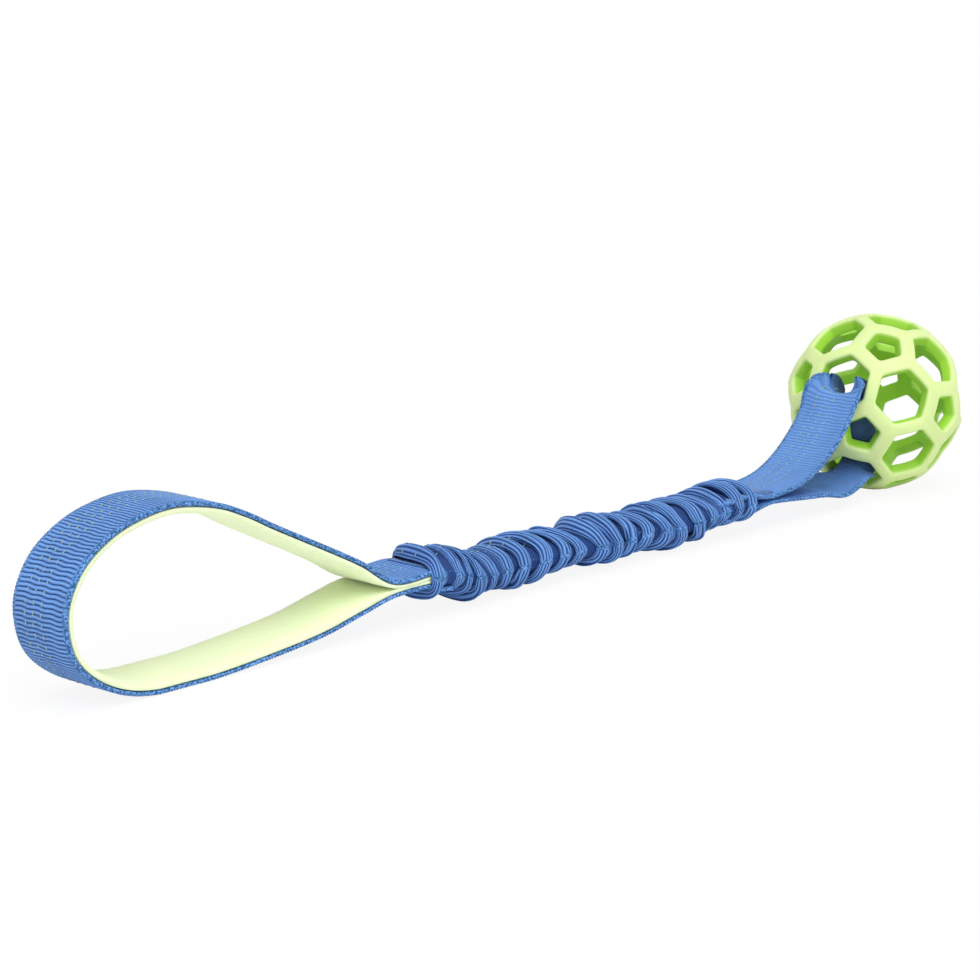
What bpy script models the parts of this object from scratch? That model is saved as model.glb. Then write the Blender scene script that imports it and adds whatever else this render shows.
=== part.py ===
"""Bungee tug toy: a padded webbing hand loop, a gathered sleeve over two elastic
bands, and a strap loop that holds a hollow lattice rubber ball.

Metres, +Z up. The toy lies on the floor at z = 0 with its length along X, the
hand loop at -X and the ball at +X. The webbing's width runs along Y.
"""
import math
import random

import bmesh
import bpy
from mathutils import Matrix, Vector

# Webbing and padding
WEBBING_WIDTH = 0.0254
WEBBING_THICKNESS = 0.0016
LINING_WIDTH = 0.0246
LINING_THICKNESS = 0.0026
LINING_PINCHED = 0.0012
LINING_TAPER = 0.018
SEAT_GAP = 0.0003

# Hand loop: outer length up to the sleeve, and outer height
HANDLE_LENGTH = 0.141
HANDLE_HEIGHT = 0.058
PINCH_INSET = 0.009
LINING_REACH = 0.004

# Gathered sleeve
SLEEVE_LENGTH = 0.186
SLEEVE_WIDTH = 0.031
SLEEVE_MIDDLE_WIDTH = 0.027
SLEEVE_HEIGHT = 0.0196
SLEEVE_FOLDS = 25
FOLD_DEPTH = 0.0037
FOLD_LEAN = 0.0022
SLEEVE_SQUARENESS = 2.3
BORE_SQUARENESS = 9.0
HANDLE_END_LIFT = 0.0142
BALL_END_LIFT = 0.0118
SLEEVE_END_WALL = 0.0011
BORE_CLEARANCE = 0.0013
BORE_SIDE_CLEARANCE = 0.0006

# How unlike the folds are: shares of the mean pitch, depth and lean, and of the depth at
# the sides. A fold is shallower beside the tails, where the bore is wider
PITCH_SHARES = (0.75, 1.25)
HOLLOW_SHARES = (0.75, 1.15)
CREST_SHARES = (0.0, 0.3)
LEAN_SHARES = (0.6, 1.0)
SIDE_DEPTH_SHARE = 0.5
TAIL_DEPTH_SHARE = 0.42
END_LIFT_SHARE = 0.25
FOLD_DRIFT = 0.35
FOLD_SWING = 0.5
SLEEVE_SEED = 7

# Elastic core and the webbing tails that are sewn to it
ELASTIC_WIDTH = 0.020
ELASTIC_THICKNESS = 0.0015
TAIL_LENGTH = 0.022
TAIL_ROOM_SHARE = 1.4

# Ball
BALL_DIAMETER = 0.070
BALL_WALL = 0.0050
STRUT_WIDTH = 0.0046
CORNER_KEEP = 0.3
CORNER_CUT_PERCENT = 100 / 3
EDGE_ROUND = 0.0007
BALL_REACH = 0.097

# Strap loop through the ball
FORK_REACH = 0.0125
UPPER_LEG_BOW = 0.0075
LOWER_LEG_SAG = 0.0045
LIP_GAP = 0.0010
OUTER_CUP_LENGTH = 0.0083
INNER_CUP_LENGTH = 0.0115

# Stitching
THREAD_RADIUS = 0.00035
TACK_LENGTH = 0.0060
TACK_WIDTH = 0.0190
TACK_STITCHES = 13
HANDLE_TACK_SHARE = 1.5
FORK_TACK_SHARE = 1.1

# Angles in degrees, in the plane of the toy, from +X towards +Z
HOLE_ANGLE = 157.2
RING_STEP = 72.0
RING_LEAN = 10.81
CORNER_ANGLE = 11.6
LIP_ANGLE = 168.0
EDGE_ANGLE = 50.0
SMOOTH_ANGLE = 40.0

# Half angles in radians of the arc that the webbing is cupped to
HOLE_CUP = 2.05
INSIDE_CUP = 1.25
OUTSIDE_CUP = 0.06

# The loop's webbing, from the lower side of the pinch round to the upper side:
# shares of the length and of the height that its middle surface spans
LOOP_SHARES = (
    (0.856, 0.142), (0.726, 0.074), (0.543, 0.025), (0.395, 0.0), (0.248, 0.0),
    (0.146, 0.051), (0.065, 0.163), (0.017, 0.300), (0.0, 0.482), (0.012, 0.633),
    (0.054, 0.787), (0.124, 0.904), (0.205, 0.972), (0.304, 1.0), (0.420, 0.952),
    (0.508, 0.867), (0.596, 0.755), (0.778, 0.535), (0.860, 0.430),
)

# Where the free legs of the strap hang off a straight line, from the fork: share of
# the way, then share of the bow
UPPER_LEG_SHARES = ((0.25, 0.80), (0.50, 1.0), (0.78, 0.65))
LOWER_LEG_SHARES = ((0.28, 0.30), (0.52, 0.55), (0.78, 1.0))

# Where the tails inside the sleeve lie flat on the elastic, as shares of their length
HANDLE_TAIL_SHARES = (0.5, 0.75, 1.0)
BALL_TAIL_SHARES = (1.0, 0.6, 0.25)

# How much of the pinch, from the sleeve outward, is closed
PINCH_CLOSED_SHARE = 0.33

SECTION_POINTS = 24
ROWS_PER_FOLD = 4
STRAP_SEGMENTS = 6
SPLINE_STEPS = 24
HANDLE_STEPS = 110
STRAP_STEPS = 84
CORE_STEPS = 12

BALL_RADIUS = BALL_DIAMETER / 2
WALL_MIDDLE = BALL_RADIUS - BALL_WALL / 2
STRAP_PLANE = -WALL_MIDDLE * math.sin(math.radians(RING_LEAN))
TAIL_SPACING = WEBBING_THICKNESS + 2 * ELASTIC_THICKNESS + 3 * SEAT_GAP
DOUBLED_SPACING = WEBBING_THICKNESS + SEAT_GAP


def clear_scene():
    for obj in list(bpy.data.objects):
        bpy.data.objects.remove(obj, do_unlink=True)


def make_material(name, colour, roughness):
    material = bpy.data.materials.new(name)
    material.use_nodes = True
    shader = material.node_tree.nodes["Principled BSDF"]
    shader.inputs["Base Color"].default_value = (*colour, 1.0)
    shader.inputs["Roughness"].default_value = roughness
    shader.inputs["Metallic"].default_value = 0.0
    return material


def make_object(name, mesh, collection, material, parent):
    obj = bpy.data.objects.new(name, mesh)
    collection.objects.link(obj)
    mesh.materials.append(material)
    mesh.shade_smooth()
    mesh.set_sharp_from_angle(angle=math.radians(SMOOTH_ANGLE))
    obj.parent = parent
    obj.matrix_parent_inverse = parent.matrix_world.inverted()
    return obj


def make_pivot(name, location, collection):
    pivot = bpy.data.objects.new(name, None)
    pivot.location = location
    collection.objects.link(pivot)
    bpy.context.view_layer.update()
    return pivot


def direction(degrees):
    angle = math.radians(degrees)
    return Vector((math.cos(angle), 0.0, math.sin(angle)))


def left_of(heading):
    return Vector((-heading.z, 0.0, heading.x))


def smoothstep(value):
    value = min(1.0, max(0.0, value))
    return value * value * (3.0 - 2.0 * value)


def mix(first, second, share):
    return first + (second - first) * share


def spline_point(before, start, end, after, share):
    """A point of the Catmull-Rom curve between start and end."""
    square, cube = share * share, share * share * share
    return 0.5 * (
        2 * start
        + (end - before) * share
        + (2 * before - 5 * start + 4 * end - after) * square
        + (3 * start - before - 3 * end + after) * cube
    )


def smooth_path(knots, steps):
    """Points at even spacing along a smooth curve through the knots."""
    fine = []
    for i in range(len(knots) - 1):
        before = knots[max(i - 1, 0)]
        after = knots[min(i + 2, len(knots) - 1)]
        fine += [spline_point(before, knots[i], knots[i + 1], after, k / SPLINE_STEPS)
                 for k in range(SPLINE_STEPS)]
    fine.append(knots[-1])
    lengths = [0.0]
    for a, b in zip(fine, fine[1:]):
        lengths.append(lengths[-1] + (b - a).length)
    path, k = [], 0
    for step in range(steps + 1):
        wanted = lengths[-1] * step / steps
        while k < len(fine) - 2 and lengths[k + 1] < wanted:
            k += 1
        share = (wanted - lengths[k]) / (lengths[k + 1] - lengths[k])
        path.append(fine[k].lerp(fine[k + 1], share))
    return path


def headings_of(path):
    """The unit direction of travel at each point, in the plane of the toy."""
    found = []
    for i in range(len(path)):
        along = path[min(i + 1, len(path) - 1)] - path[max(i - 1, 0)]
        found.append(Vector((along.x, 0.0, along.z)).normalized())
    return found


def loft(name, rings, ring_of_rings=False):
    """A closed mesh through rings of equally many points, capped unless they close up."""
    mesh = bpy.data.meshes.new(name)
    bm = bmesh.new()
    rows = [[bm.verts.new(point) for point in ring] for ring in rings]
    pairs = list(zip(rows, rows[1:]))
    if ring_of_rings:
        pairs.append((rows[-1], rows[0]))
    size = len(rows[0])
    for row, following in pairs:
        for k in range(size):
            after = (k + 1) % size
            bm.faces.new((row[k], row[after], following[after], following[k]))
    if not ring_of_rings:
        bm.faces.new(rows[0])
        bm.faces.new(reversed(rows[-1]))
    bmesh.ops.recalc_face_normals(bm, faces=bm.faces[:])
    if bm.calc_volume(signed=True) < 0:
        bmesh.ops.reverse_faces(bm, faces=bm.faces[:])
    bm.to_mesh(mesh)
    bm.free()
    return mesh


def cupped_ring(centre, heading, width, thickness, half_angle, segments):
    """A webbing section bent to an arc, its edges turned to the left of the heading."""
    radius = width / (2 * half_angle)
    outward = left_of(heading)
    hub = centre + outward * radius
    angles = [half_angle * (2 * k / segments - 1) for k in range(segments + 1)]
    spokes = [Vector((0.0, math.sin(angle), 0.0)) - outward * math.cos(angle) for angle in angles]
    outer = [hub + spoke * (radius + thickness / 2) for spoke in spokes]
    inner = [hub + spoke * (radius - thickness / 2) for spoke in reversed(spokes)]
    return outer + inner


def flat_ring(centre, heading, width, low, high):
    """A rectangle across Y, from low to high measured to the left of the heading."""
    outward = left_of(heading)
    near, far = Vector((0.0, -width / 2, 0.0)), Vector((0.0, width / 2, 0.0))
    return [
        centre + outward * low + near,
        centre + outward * low + far,
        centre + outward * high + far,
        centre + outward * high + near,
    ]


def lattice_ball_mesh():
    """A football's pentagons and hexagons as openings, with the struts left between them."""
    mesh = bpy.data.meshes.new("ball")
    bm = bmesh.new()
    bmesh.ops.create_icosphere(bm, subdivisions=1, radius=BALL_RADIUS)
    bmesh.ops.bevel(
        bm, geom=bm.verts[:], offset=CORNER_CUT_PERCENT, offset_type="PERCENT",
        affect="VERTICES", segments=1, profile=0.5,
    )
    corner = max(vertex.co.length for vertex in bm.verts)
    bmesh.ops.scale(bm, vec=Vector((1.0, 1.0, 1.0)) * (BALL_RADIUS / corner), verts=bm.verts[:])
    openings = bm.faces[:]
    bmesh.ops.inset_individual(
        bm, faces=openings, thickness=STRUT_WIDTH / 2, use_even_offset=True,
    )
    bmesh.ops.delete(bm, geom=openings, context="FACES")
    crease = bm.verts.layers.float.new("crease_vert")
    for vertex in bm.verts:
        vertex[crease] = CORNER_KEEP if vertex.is_boundary else 0.0
    bmesh.ops.transform(bm, matrix=ball_turn(), verts=bm.verts[:])
    bm.to_mesh(mesh)
    bm.free()
    return mesh


def ball_turn():
    """One pentagon faces -Y, and a hexagon of the ring beside it faces the hole angle."""
    spin = math.radians(180.0 - HOLE_ANGLE)
    return Matrix.Rotation(spin, 4, "Y") @ Matrix.Rotation(math.radians(90), 4, "X")


def add_ball_modifiers(obj):
    rounded = obj.modifiers.new("rounded_openings", "SUBSURF")
    rounded.levels = rounded.render_levels = 1
    ball = obj.modifiers.new("to_ball", "CAST")
    ball.cast_type = "SPHERE"
    ball.factor = 1.0
    ball.use_radius_as_size = False
    ball.size = BALL_RADIUS
    wall = obj.modifiers.new("wall", "SOLIDIFY")
    wall.thickness = BALL_WALL
    wall.offset = -1.0
    edges = obj.modifiers.new("soft_edges", "BEVEL")
    edges.width = EDGE_ROUND
    edges.segments = 1
    edges.limit_method = "ANGLE"
    edges.angle_limit = math.radians(EDGE_ANGLE)


def evaluated_points(obj):
    bpy.context.view_layer.update()
    shown = obj.evaluated_get(bpy.context.evaluated_depsgraph_get())
    mesh = shown.to_mesh()
    points = [obj.matrix_world @ vertex.co for vertex in mesh.vertices]
    shown.to_mesh_clear()
    return points


def build_ball(collection, material):
    """Makes the ball at the origin. Gives its pivot and its reach to +X and below its centre."""
    pivot = make_pivot("ball_pivot", (0.0, 0.0, 0.0), collection)
    ball = make_object("ball", lattice_ball_mesh(), collection, material, pivot)
    add_ball_modifiers(ball)
    points = evaluated_points(ball)
    return pivot, max(p.x for p in points), -min(p.z for p in points)


class Layout:
    """Where the pieces lie along X, worked out from the driving sizes."""

    def __init__(self, ball_right, ball_low):
        length = HANDLE_LENGTH + SLEEVE_LENGTH + BALL_REACH + ball_right
        self.left = -length / 2
        self.sleeve_start = self.left + HANDLE_LENGTH
        self.sleeve_end = self.sleeve_start + SLEEVE_LENGTH
        self.ball = Vector((self.sleeve_end + BALL_REACH, 0.0, ball_low))
        self.fork = self.sleeve_end + FORK_REACH

    def axis(self, x):
        """The middle of the sleeve: it lies on the floor and lifts at both ends."""
        low = SLEEVE_HEIGHT / 2
        into = (x - self.sleeve_start) / SLEEVE_LENGTH
        at_handle = (HANDLE_END_LIFT - low) * (1.0 - smoothstep(into / END_LIFT_SHARE))
        at_ball = (BALL_END_LIFT - low) * (1.0 - smoothstep((1.0 - into) / END_LIFT_SHARE))
        return Vector((x, STRAP_PLANE, low + at_handle + at_ball))

    def beside_tails(self, x):
        """1 where the sleeve holds the webbing's tails, and 0 where it holds elastic alone."""
        from_end = min(x - self.sleeve_start, self.sleeve_end - x)
        return 1.0 - smoothstep(from_end / TAIL_LENGTH - TAIL_ROOM_SHARE)


def handle_knots(layout):
    """The webbing's middle surface, from the lower tail's end round to the upper tail's."""
    half = WEBBING_THICKNESS / 2
    width = HANDLE_LENGTH - half
    height = HANDLE_HEIGHT - WEBBING_THICKNESS
    loop = [
        Vector((layout.left + half + across * width, STRAP_PLANE, half + up * height))
        for across, up in LOOP_SHARES
    ]
    spacing = WEBBING_THICKNESS + 2 * (SEAT_GAP + LINING_PINCHED) + SEAT_GAP
    closed = PINCH_INSET * PINCH_CLOSED_SHARE
    pinch = Vector((layout.sleeve_start - closed, STRAP_PLANE, HANDLE_END_LIFT))
    opened = Vector((layout.sleeve_start - PINCH_INSET, STRAP_PLANE, HANDLE_END_LIFT))
    rise = Vector((0.0, 0.0, spacing / 2))
    open_rise = Vector((0.0, 0.0, spacing / 2 + LINING_THICKNESS - LINING_PINCHED))
    tail_rise = Vector((0.0, 0.0, TAIL_SPACING / 2))
    starts = [layout.axis(layout.sleeve_start + TAIL_LENGTH * share) for share in HANDLE_TAIL_SHARES]
    lower = [point - tail_rise for point in reversed(starts)] + [pinch - rise, opened - open_rise]
    upper = [opened + open_rise, pinch + rise] + [point + tail_rise for point in starts]
    return lower + loop + upper


def handle_path(layout):
    path = smooth_path(handle_knots(layout), HANDLE_STEPS)
    floor = WEBBING_THICKNESS / 2
    return [Vector((p.x, p.y, max(p.z, floor))) for p in path]


def build_handle(layout, collection, blue, lime, parent):
    path = handle_path(layout)
    headings = headings_of(path)
    half = WEBBING_THICKNESS / 2
    rings = [
        flat_ring(p, heading, WEBBING_WIDTH, -half, half) for p, heading in zip(path, headings)
    ]
    make_object("handle_webbing", loft("handle_webbing", rings), collection, blue, parent)

    limit = layout.sleeve_start + LINING_REACH
    lined = [i for i, point in enumerate(path) if point.x < limit]
    along = [0.0]
    for a, b in zip(lined, lined[1:]):
        along.append(along[-1] + (path[b] - path[a]).length)
    rings = []
    for i, distance in zip(lined, along):
        full = smoothstep(min(distance, along[-1] - distance) / LINING_TAPER)
        thickness = LINING_PINCHED + (LINING_THICKNESS - LINING_PINCHED) * full
        face = -(half + SEAT_GAP)
        rings.append(flat_ring(path[i], headings[i], LINING_WIDTH, face - thickness, face))
    make_object("handle_lining", loft("handle_lining", rings), collection, lime, parent)


def rounded_box_ring(centre, half_width, half_height, squareness, lean=0.0, phase=0.0):
    """A ring round the sleeve's axis. Its x wanders by the lean, as a gathered fold does."""
    ring = []
    power = 2 / squareness
    for k in range(SECTION_POINTS):
        angle = 2 * math.pi * k / SECTION_POINTS
        across = math.copysign(abs(math.cos(angle)) ** power, math.cos(angle))
        up = math.copysign(abs(math.sin(angle)) ** power, math.sin(angle))
        ring.append(Vector((
            centre.x + lean * math.sin(angle + phase),
            centre.y + half_width * across,
            max(centre.z + half_height * up, 0.0),
        )))
    return ring


def fold_rings(layout):
    """The sleeve's outer rings: each fold runs from a hollow over its crest, and no two are alike."""
    chance = random.Random(SLEEVE_SEED)
    pitches = [chance.uniform(*PITCH_SHARES) for _ in range(SLEEVE_FOLDS)]
    leans = [0.0] + [FOLD_LEAN * chance.uniform(*LEAN_SHARES) for _ in pitches[1:]] + [0.0]
    phases = [chance.uniform(-FOLD_SWING, FOLD_SWING) + k * FOLD_DRIFT for k in range(SLEEVE_FOLDS + 1)]
    rings, start = [end_ring(layout, layout.sleeve_start)], layout.sleeve_start
    for fold, share in enumerate(pitches):
        pitch = SLEEVE_LENGTH * share / sum(pitches)
        hollow = FOLD_DEPTH * chance.uniform(*HOLLOW_SHARES)
        crest = FOLD_DEPTH * chance.uniform(*CREST_SHARES)
        for row in range(0 if fold else 1, ROWS_PER_FOLD):
            way = row / ROWS_PER_FOLD
            depth = mix(crest, hollow, (1.0 + math.cos(2 * math.pi * way)) / 2)
            lean = mix(leans[fold], leans[fold + 1], way)
            phase = mix(phases[fold], phases[fold + 1], way)
            rings.append(fold_ring(layout, start + pitch * way, depth, lean, phase))
        start += pitch
    return rings + [end_ring(layout, layout.sleeve_end)]


def fold_ring(layout, x, depth, lean, phase):
    tails = layout.beside_tails(x)
    depth *= mix(1.0, TAIL_DEPTH_SHARE, tails)
    half_width = mix(SLEEVE_MIDDLE_WIDTH, SLEEVE_WIDTH, tails) / 2 - depth * SIDE_DEPTH_SHARE
    half_height = SLEEVE_HEIGHT / 2 - depth
    return rounded_box_ring(layout.axis(x), half_width, half_height, SLEEVE_SQUARENESS, lean, phase)


def end_ring(layout, x):
    half_width, half_height = bore_size(layout, x)
    return rounded_box_ring(layout.axis(x), half_width + SLEEVE_END_WALL,
                            half_height + SLEEVE_END_WALL, BORE_SQUARENESS)


def bore_size(layout, x):
    """The bore's half width and half height: wide round the tails, narrower round the elastic."""
    tails = layout.beside_tails(x)
    tail_width, tail_height = WEBBING_WIDTH / 2, (TAIL_SPACING + WEBBING_THICKNESS) / 2
    core_width, core_height = ELASTIC_WIDTH / 2, ELASTIC_THICKNESS + SEAT_GAP / 2
    half_width = mix(core_width, tail_width, tails) + BORE_SIDE_CLEARANCE
    return half_width, mix(core_height, tail_height, tails) + BORE_CLEARANCE


def build_sleeve(layout, collection, material, parent):
    """The gathered tube: crests and hollows outside, and a plain bore inside."""
    bore = []
    for step in range(CORE_STEPS, -1, -1):
        x = layout.sleeve_start + SLEEVE_LENGTH * step / CORE_STEPS
        bore.append(rounded_box_ring(layout.axis(x), *bore_size(layout, x), BORE_SQUARENESS))
    mesh = loft("sleeve", fold_rings(layout) + bore, ring_of_rings=True)
    make_object("sleeve", mesh, collection, material, parent)


def build_elastic(layout, collection, material, parent):
    """Two flat elastic bands, one on the other, from tail to tail inside the sleeve."""
    first = layout.sleeve_start + TAIL_LENGTH * HANDLE_TAIL_SHARES[0]
    last = layout.sleeve_end - TAIL_LENGTH * BALL_TAIL_SHARES[-1]
    path = [layout.axis(first + (last - first) * k / CORE_STEPS) for k in range(CORE_STEPS + 1)]
    headings = headings_of(path)
    for name, low in (("elastic_band_lower", -ELASTIC_THICKNESS - SEAT_GAP / 2),
                      ("elastic_band_upper", SEAT_GAP / 2)):
        rings = [
            flat_ring(p, heading, ELASTIC_WIDTH, low, low + ELASTIC_THICKNESS)
            for p, heading in zip(path, headings)
        ]
        make_object(name, loft(name, rings), collection, material, parent)


def hole_seat(layout, angle, towards_strut):
    """Where the cupped strap's middle passes a hole of the ball's ring, and the way out."""
    out = direction(angle)
    side = direction(angle + 90.0 * towards_strut)
    cup = WEBBING_WIDTH / (2 * HOLE_CUP)
    centre = layout.ball + out * WALL_MIDDLE * math.cos(math.radians(RING_LEAN)) + side * cup
    return Vector((centre.x, STRAP_PLANE, centre.z)), out


def ball_point(layout, angle, radius):
    """A point in the strap's plane at this distance from the ball's centre."""
    flat = math.sqrt(radius * radius - STRAP_PLANE * STRAP_PLANE)
    point = layout.ball + direction(angle) * flat
    return Vector((point.x, STRAP_PLANE, point.z))


def free_leg(start, end, shares, bow):
    """Points of a free leg of the strap, each off the straight line by its share of the bow."""
    off = left_of((end - start).normalized()) * -bow
    return [start.lerp(end, along) + off * depth for along, depth in shares]


def strap_knots(layout):
    """The strap's middle line: out to the ball, round one strut from inside, and back."""
    entry, entry_out = hole_seat(layout, HOLE_ANGLE, 1)
    leave, leave_out = hole_seat(layout, HOLE_ANGLE + RING_STEP, -1)
    middle = HOLE_ANGLE + RING_STEP / 2
    outside = BALL_RADIUS + WEBBING_THICKNESS / 2 + LIP_GAP
    inside = BALL_RADIUS - BALL_WALL - WEBBING_THICKNESS / 2 - LIP_GAP
    tail_rise = Vector((0.0, 0.0, TAIL_SPACING / 2))
    doubled = Vector((0.0, 0.0, DOUBLED_SPACING / 2))
    tails = [layout.axis(layout.sleeve_end - TAIL_LENGTH * share) for share in BALL_TAIL_SHARES]
    flat_start = layout.axis(layout.sleeve_end + TAIL_SPACING)
    flat_end = layout.axis(layout.fork)
    lip = ball_point(layout, LIP_ANGLE, outside)
    lower_lip = leave + leave_out * BALL_WALL
    upper_leg = free_leg(flat_end + doubled, lip, UPPER_LEG_SHARES, UPPER_LEG_BOW)
    lower_leg = free_leg(flat_end - doubled, lower_lip, LOWER_LEG_SHARES, LOWER_LEG_SAG)
    return (
        [point + tail_rise for point in tails]
        + [flat_start + doubled, flat_end + doubled]
        + upper_leg
        + [lip, entry, entry - entry_out * BALL_WALL]
        + [ball_point(layout, middle + turn, inside) for turn in (-CORNER_ANGLE / 2, CORNER_ANGLE / 2)]
        + [leave - leave_out * BALL_WALL, leave, lower_lip]
        + list(reversed(lower_leg))
        + [flat_end - doubled, flat_start - doubled]
        + [point - tail_rise for point in reversed(tails)]
    )


def strap_cups(layout, path):
    """How far each section is cupped: most in the ball's holes, less inside, flat outside."""
    cups = []
    for point in path:
        depth = (point - layout.ball).length - WALL_MIDDLE
        rest, reach = (OUTSIDE_CUP, OUTER_CUP_LENGTH) if depth > 0 else (INSIDE_CUP, INNER_CUP_LENGTH)
        cups.append(mix(HOLE_CUP, rest, smoothstep(abs(depth) / reach)))
    return cups


def build_strap(layout, collection, material, parent):
    path = smooth_path(strap_knots(layout), STRAP_STEPS)
    cups = strap_cups(layout, path)
    rings = [
        cupped_ring(p, heading, WEBBING_WIDTH, WEBBING_THICKNESS, cup, STRAP_SEGMENTS)
        for p, heading, cup in zip(path, headings_of(path), cups)
    ]
    make_object("ball_strap", loft("ball_strap", rings), collection, material, parent)


def build_tack(name, start, heading, collection, material, parent):
    """A bar tack: one thread that zigzags across the webbing, along the heading."""
    curve = bpy.data.curves.new(name, "CURVE")
    curve.dimensions = "3D"
    curve.bevel_depth = THREAD_RADIUS
    curve.bevel_resolution = 1
    curve.use_fill_caps = True
    spline = curve.splines.new("POLY")
    spline.points.add(TACK_STITCHES)
    lift = left_of(heading)
    if lift.z < 0:
        lift = -lift
    height = WEBBING_THICKNESS / 2 + SEAT_GAP + THREAD_RADIUS
    for k in range(TACK_STITCHES + 1):
        side = TACK_WIDTH / 2 if k % 2 else -TACK_WIDTH / 2
        point = start + heading * (TACK_LENGTH * k / TACK_STITCHES) + lift * height
        spline.points[k].co = (point.x, point.y + side, point.z, 1.0)
    obj = bpy.data.objects.new(name, curve)
    collection.objects.link(obj)
    curve.materials.append(material)
    obj.parent = parent
    obj.matrix_parent_inverse = parent.matrix_world.inverted()


def main():
    clear_scene()
    toy = bpy.data.collections.new("bungee_tug_toy")
    bpy.context.scene.collection.children.link(toy)
    blue = make_material("woven_webbing_blue", (0.052, 0.160, 0.540), 0.75)
    lime = make_material("fleece_lining_lime", (0.800, 0.960, 0.480), 0.90)
    green = make_material("rubber_lime_green", (0.510, 0.800, 0.140), 0.45)
    white = make_material("elastic_white", (0.80, 0.80, 0.78), 0.80)
    thread = make_material("thread_blue", (0.080, 0.200, 0.560), 0.60)

    ball_pivot, ball_right, ball_low = build_ball(toy, green)
    layout = Layout(ball_right, ball_low)
    ball_pivot.location = layout.ball

    handle_pivot = make_pivot("handle_pivot", layout.axis(layout.sleeve_start), toy)
    bungee = make_pivot("bungee_centre", layout.axis(layout.sleeve_start), toy)
    strap_pivot = make_pivot("strap_pivot", layout.axis(layout.fork), toy)

    build_handle(layout, toy, blue, lime, handle_pivot)
    build_sleeve(layout, toy, blue, bungee)
    build_elastic(layout, toy, white, bungee)
    build_strap(layout, toy, blue, strap_pivot)

    tail_rise = Vector((0.0, 0.0, TAIL_SPACING / 2))
    tack_inset = TACK_LENGTH * HANDLE_TACK_SHARE
    inner = layout.axis(layout.sleeve_start + TAIL_LENGTH - tack_inset) + tail_rise
    further = layout.axis(layout.sleeve_start + TAIL_LENGTH) + tail_rise
    build_tack("handle_bar_tack", inner, (further - inner).normalized(), toy, thread, handle_pivot)
    doubled = Vector((0.0, 0.0, DOUBLED_SPACING / 2))
    outer = layout.axis(layout.fork - TACK_LENGTH * FORK_TACK_SHARE) + doubled
    beyond = layout.axis(layout.fork) + doubled
    build_tack("ball_bar_tack", outer, (beyond - outer).normalized(), toy, thread, strap_pivot)


main()
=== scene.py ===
"""The looks of a bungee tug toy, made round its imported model.

A padded webbing hand loop, a gathered sleeve over two elastic bands, and a strap
loop that holds a hollow lattice rubber ball. Metres, +Z up, as in the model: the
hand loop lies at -X, the ball at +X, and the webbing's width runs along Y.
"""
import math
import random

import bmesh
import bpy
import numpy as np
from bpy.props import FloatProperty, FloatVectorProperty, IntProperty, PointerProperty
from mathutils import Matrix, Vector


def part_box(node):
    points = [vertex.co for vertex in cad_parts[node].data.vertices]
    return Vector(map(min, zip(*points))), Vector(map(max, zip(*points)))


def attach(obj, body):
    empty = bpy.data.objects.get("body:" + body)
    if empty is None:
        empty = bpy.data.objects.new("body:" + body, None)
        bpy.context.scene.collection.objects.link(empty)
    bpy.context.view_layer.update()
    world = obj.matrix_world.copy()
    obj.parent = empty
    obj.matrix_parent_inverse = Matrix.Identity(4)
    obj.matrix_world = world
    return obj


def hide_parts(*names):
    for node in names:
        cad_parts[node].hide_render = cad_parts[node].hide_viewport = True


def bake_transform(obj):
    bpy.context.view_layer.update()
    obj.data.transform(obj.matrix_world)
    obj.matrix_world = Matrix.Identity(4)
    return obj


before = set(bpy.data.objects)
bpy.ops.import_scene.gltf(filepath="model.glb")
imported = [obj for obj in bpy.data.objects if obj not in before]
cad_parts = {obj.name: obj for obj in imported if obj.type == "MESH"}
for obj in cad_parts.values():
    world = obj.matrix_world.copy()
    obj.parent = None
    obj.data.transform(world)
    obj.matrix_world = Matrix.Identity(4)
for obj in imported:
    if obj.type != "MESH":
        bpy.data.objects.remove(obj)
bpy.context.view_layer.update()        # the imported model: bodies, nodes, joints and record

bl_info = {
    "name": "Bungee tug toy",
    "version": (1, 0, 0),
    "blender": (4, 5, 0),
    "location": "View3D > Sidebar > Tug toy",
    "description": "Hand loop, gathered sleeve, strap and lattice ball of a bungee tug toy",
    "category": "Add Mesh",
}

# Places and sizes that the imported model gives
HANDLE_LOW, HANDLE_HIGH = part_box("handle_webbing")
SLEEVE_LOW, SLEEVE_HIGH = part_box("sleeve")
BALL_LOW, BALL_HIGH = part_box("ball")
BALL_CENTRE = (BALL_LOW + BALL_HIGH) / 2
STRAP_PLANE = (HANDLE_LOW.y + HANDLE_HIGH.y) / 2
WEBBING_WIDTH = HANDLE_HIGH.y - HANDLE_LOW.y
HANDLE_LEFT, HANDLE_HEIGHT = HANDLE_LOW.x, HANDLE_HIGH.z
MOUTH_X, SLEEVE_END_X = SLEEVE_LOW.x, SLEEVE_HIGH.x
SLEEVE_LENGTH = SLEEVE_END_X - MOUTH_X

# Webbing and padding. The neck is where the hand loop closes
SEAT_GAP = 0.0003
WEBBING_THICKNESS = 0.0016
LINING_WIDTH = 0.0246
LINING_THICKNESS = 0.0026
LINING_PINCHED = 0.0012
LINING_TAPER = 0.018
LINING_REACH = 0.0155
LINING_GAP = SEAT_GAP * 1.2
LINING_SEAT = SEAT_GAP * 0.3
LINING_CROWN_SHARE = 0.65
LINING_TUCK_SHARE = 0.10
LINING_SQUARENESS, LINING_ROUNDING = 5, 0.4
LUMP_HEIGHT = 0.00010
LUMP_TURNS = ((2100, 900), (-800, 1900))     # radians for each metre along and across
PINCH_REACH = 0.0130
OPEN_INSET = 0.0050
NECK_OPENING = 1.05
NECK_RUN = 0.018

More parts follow.
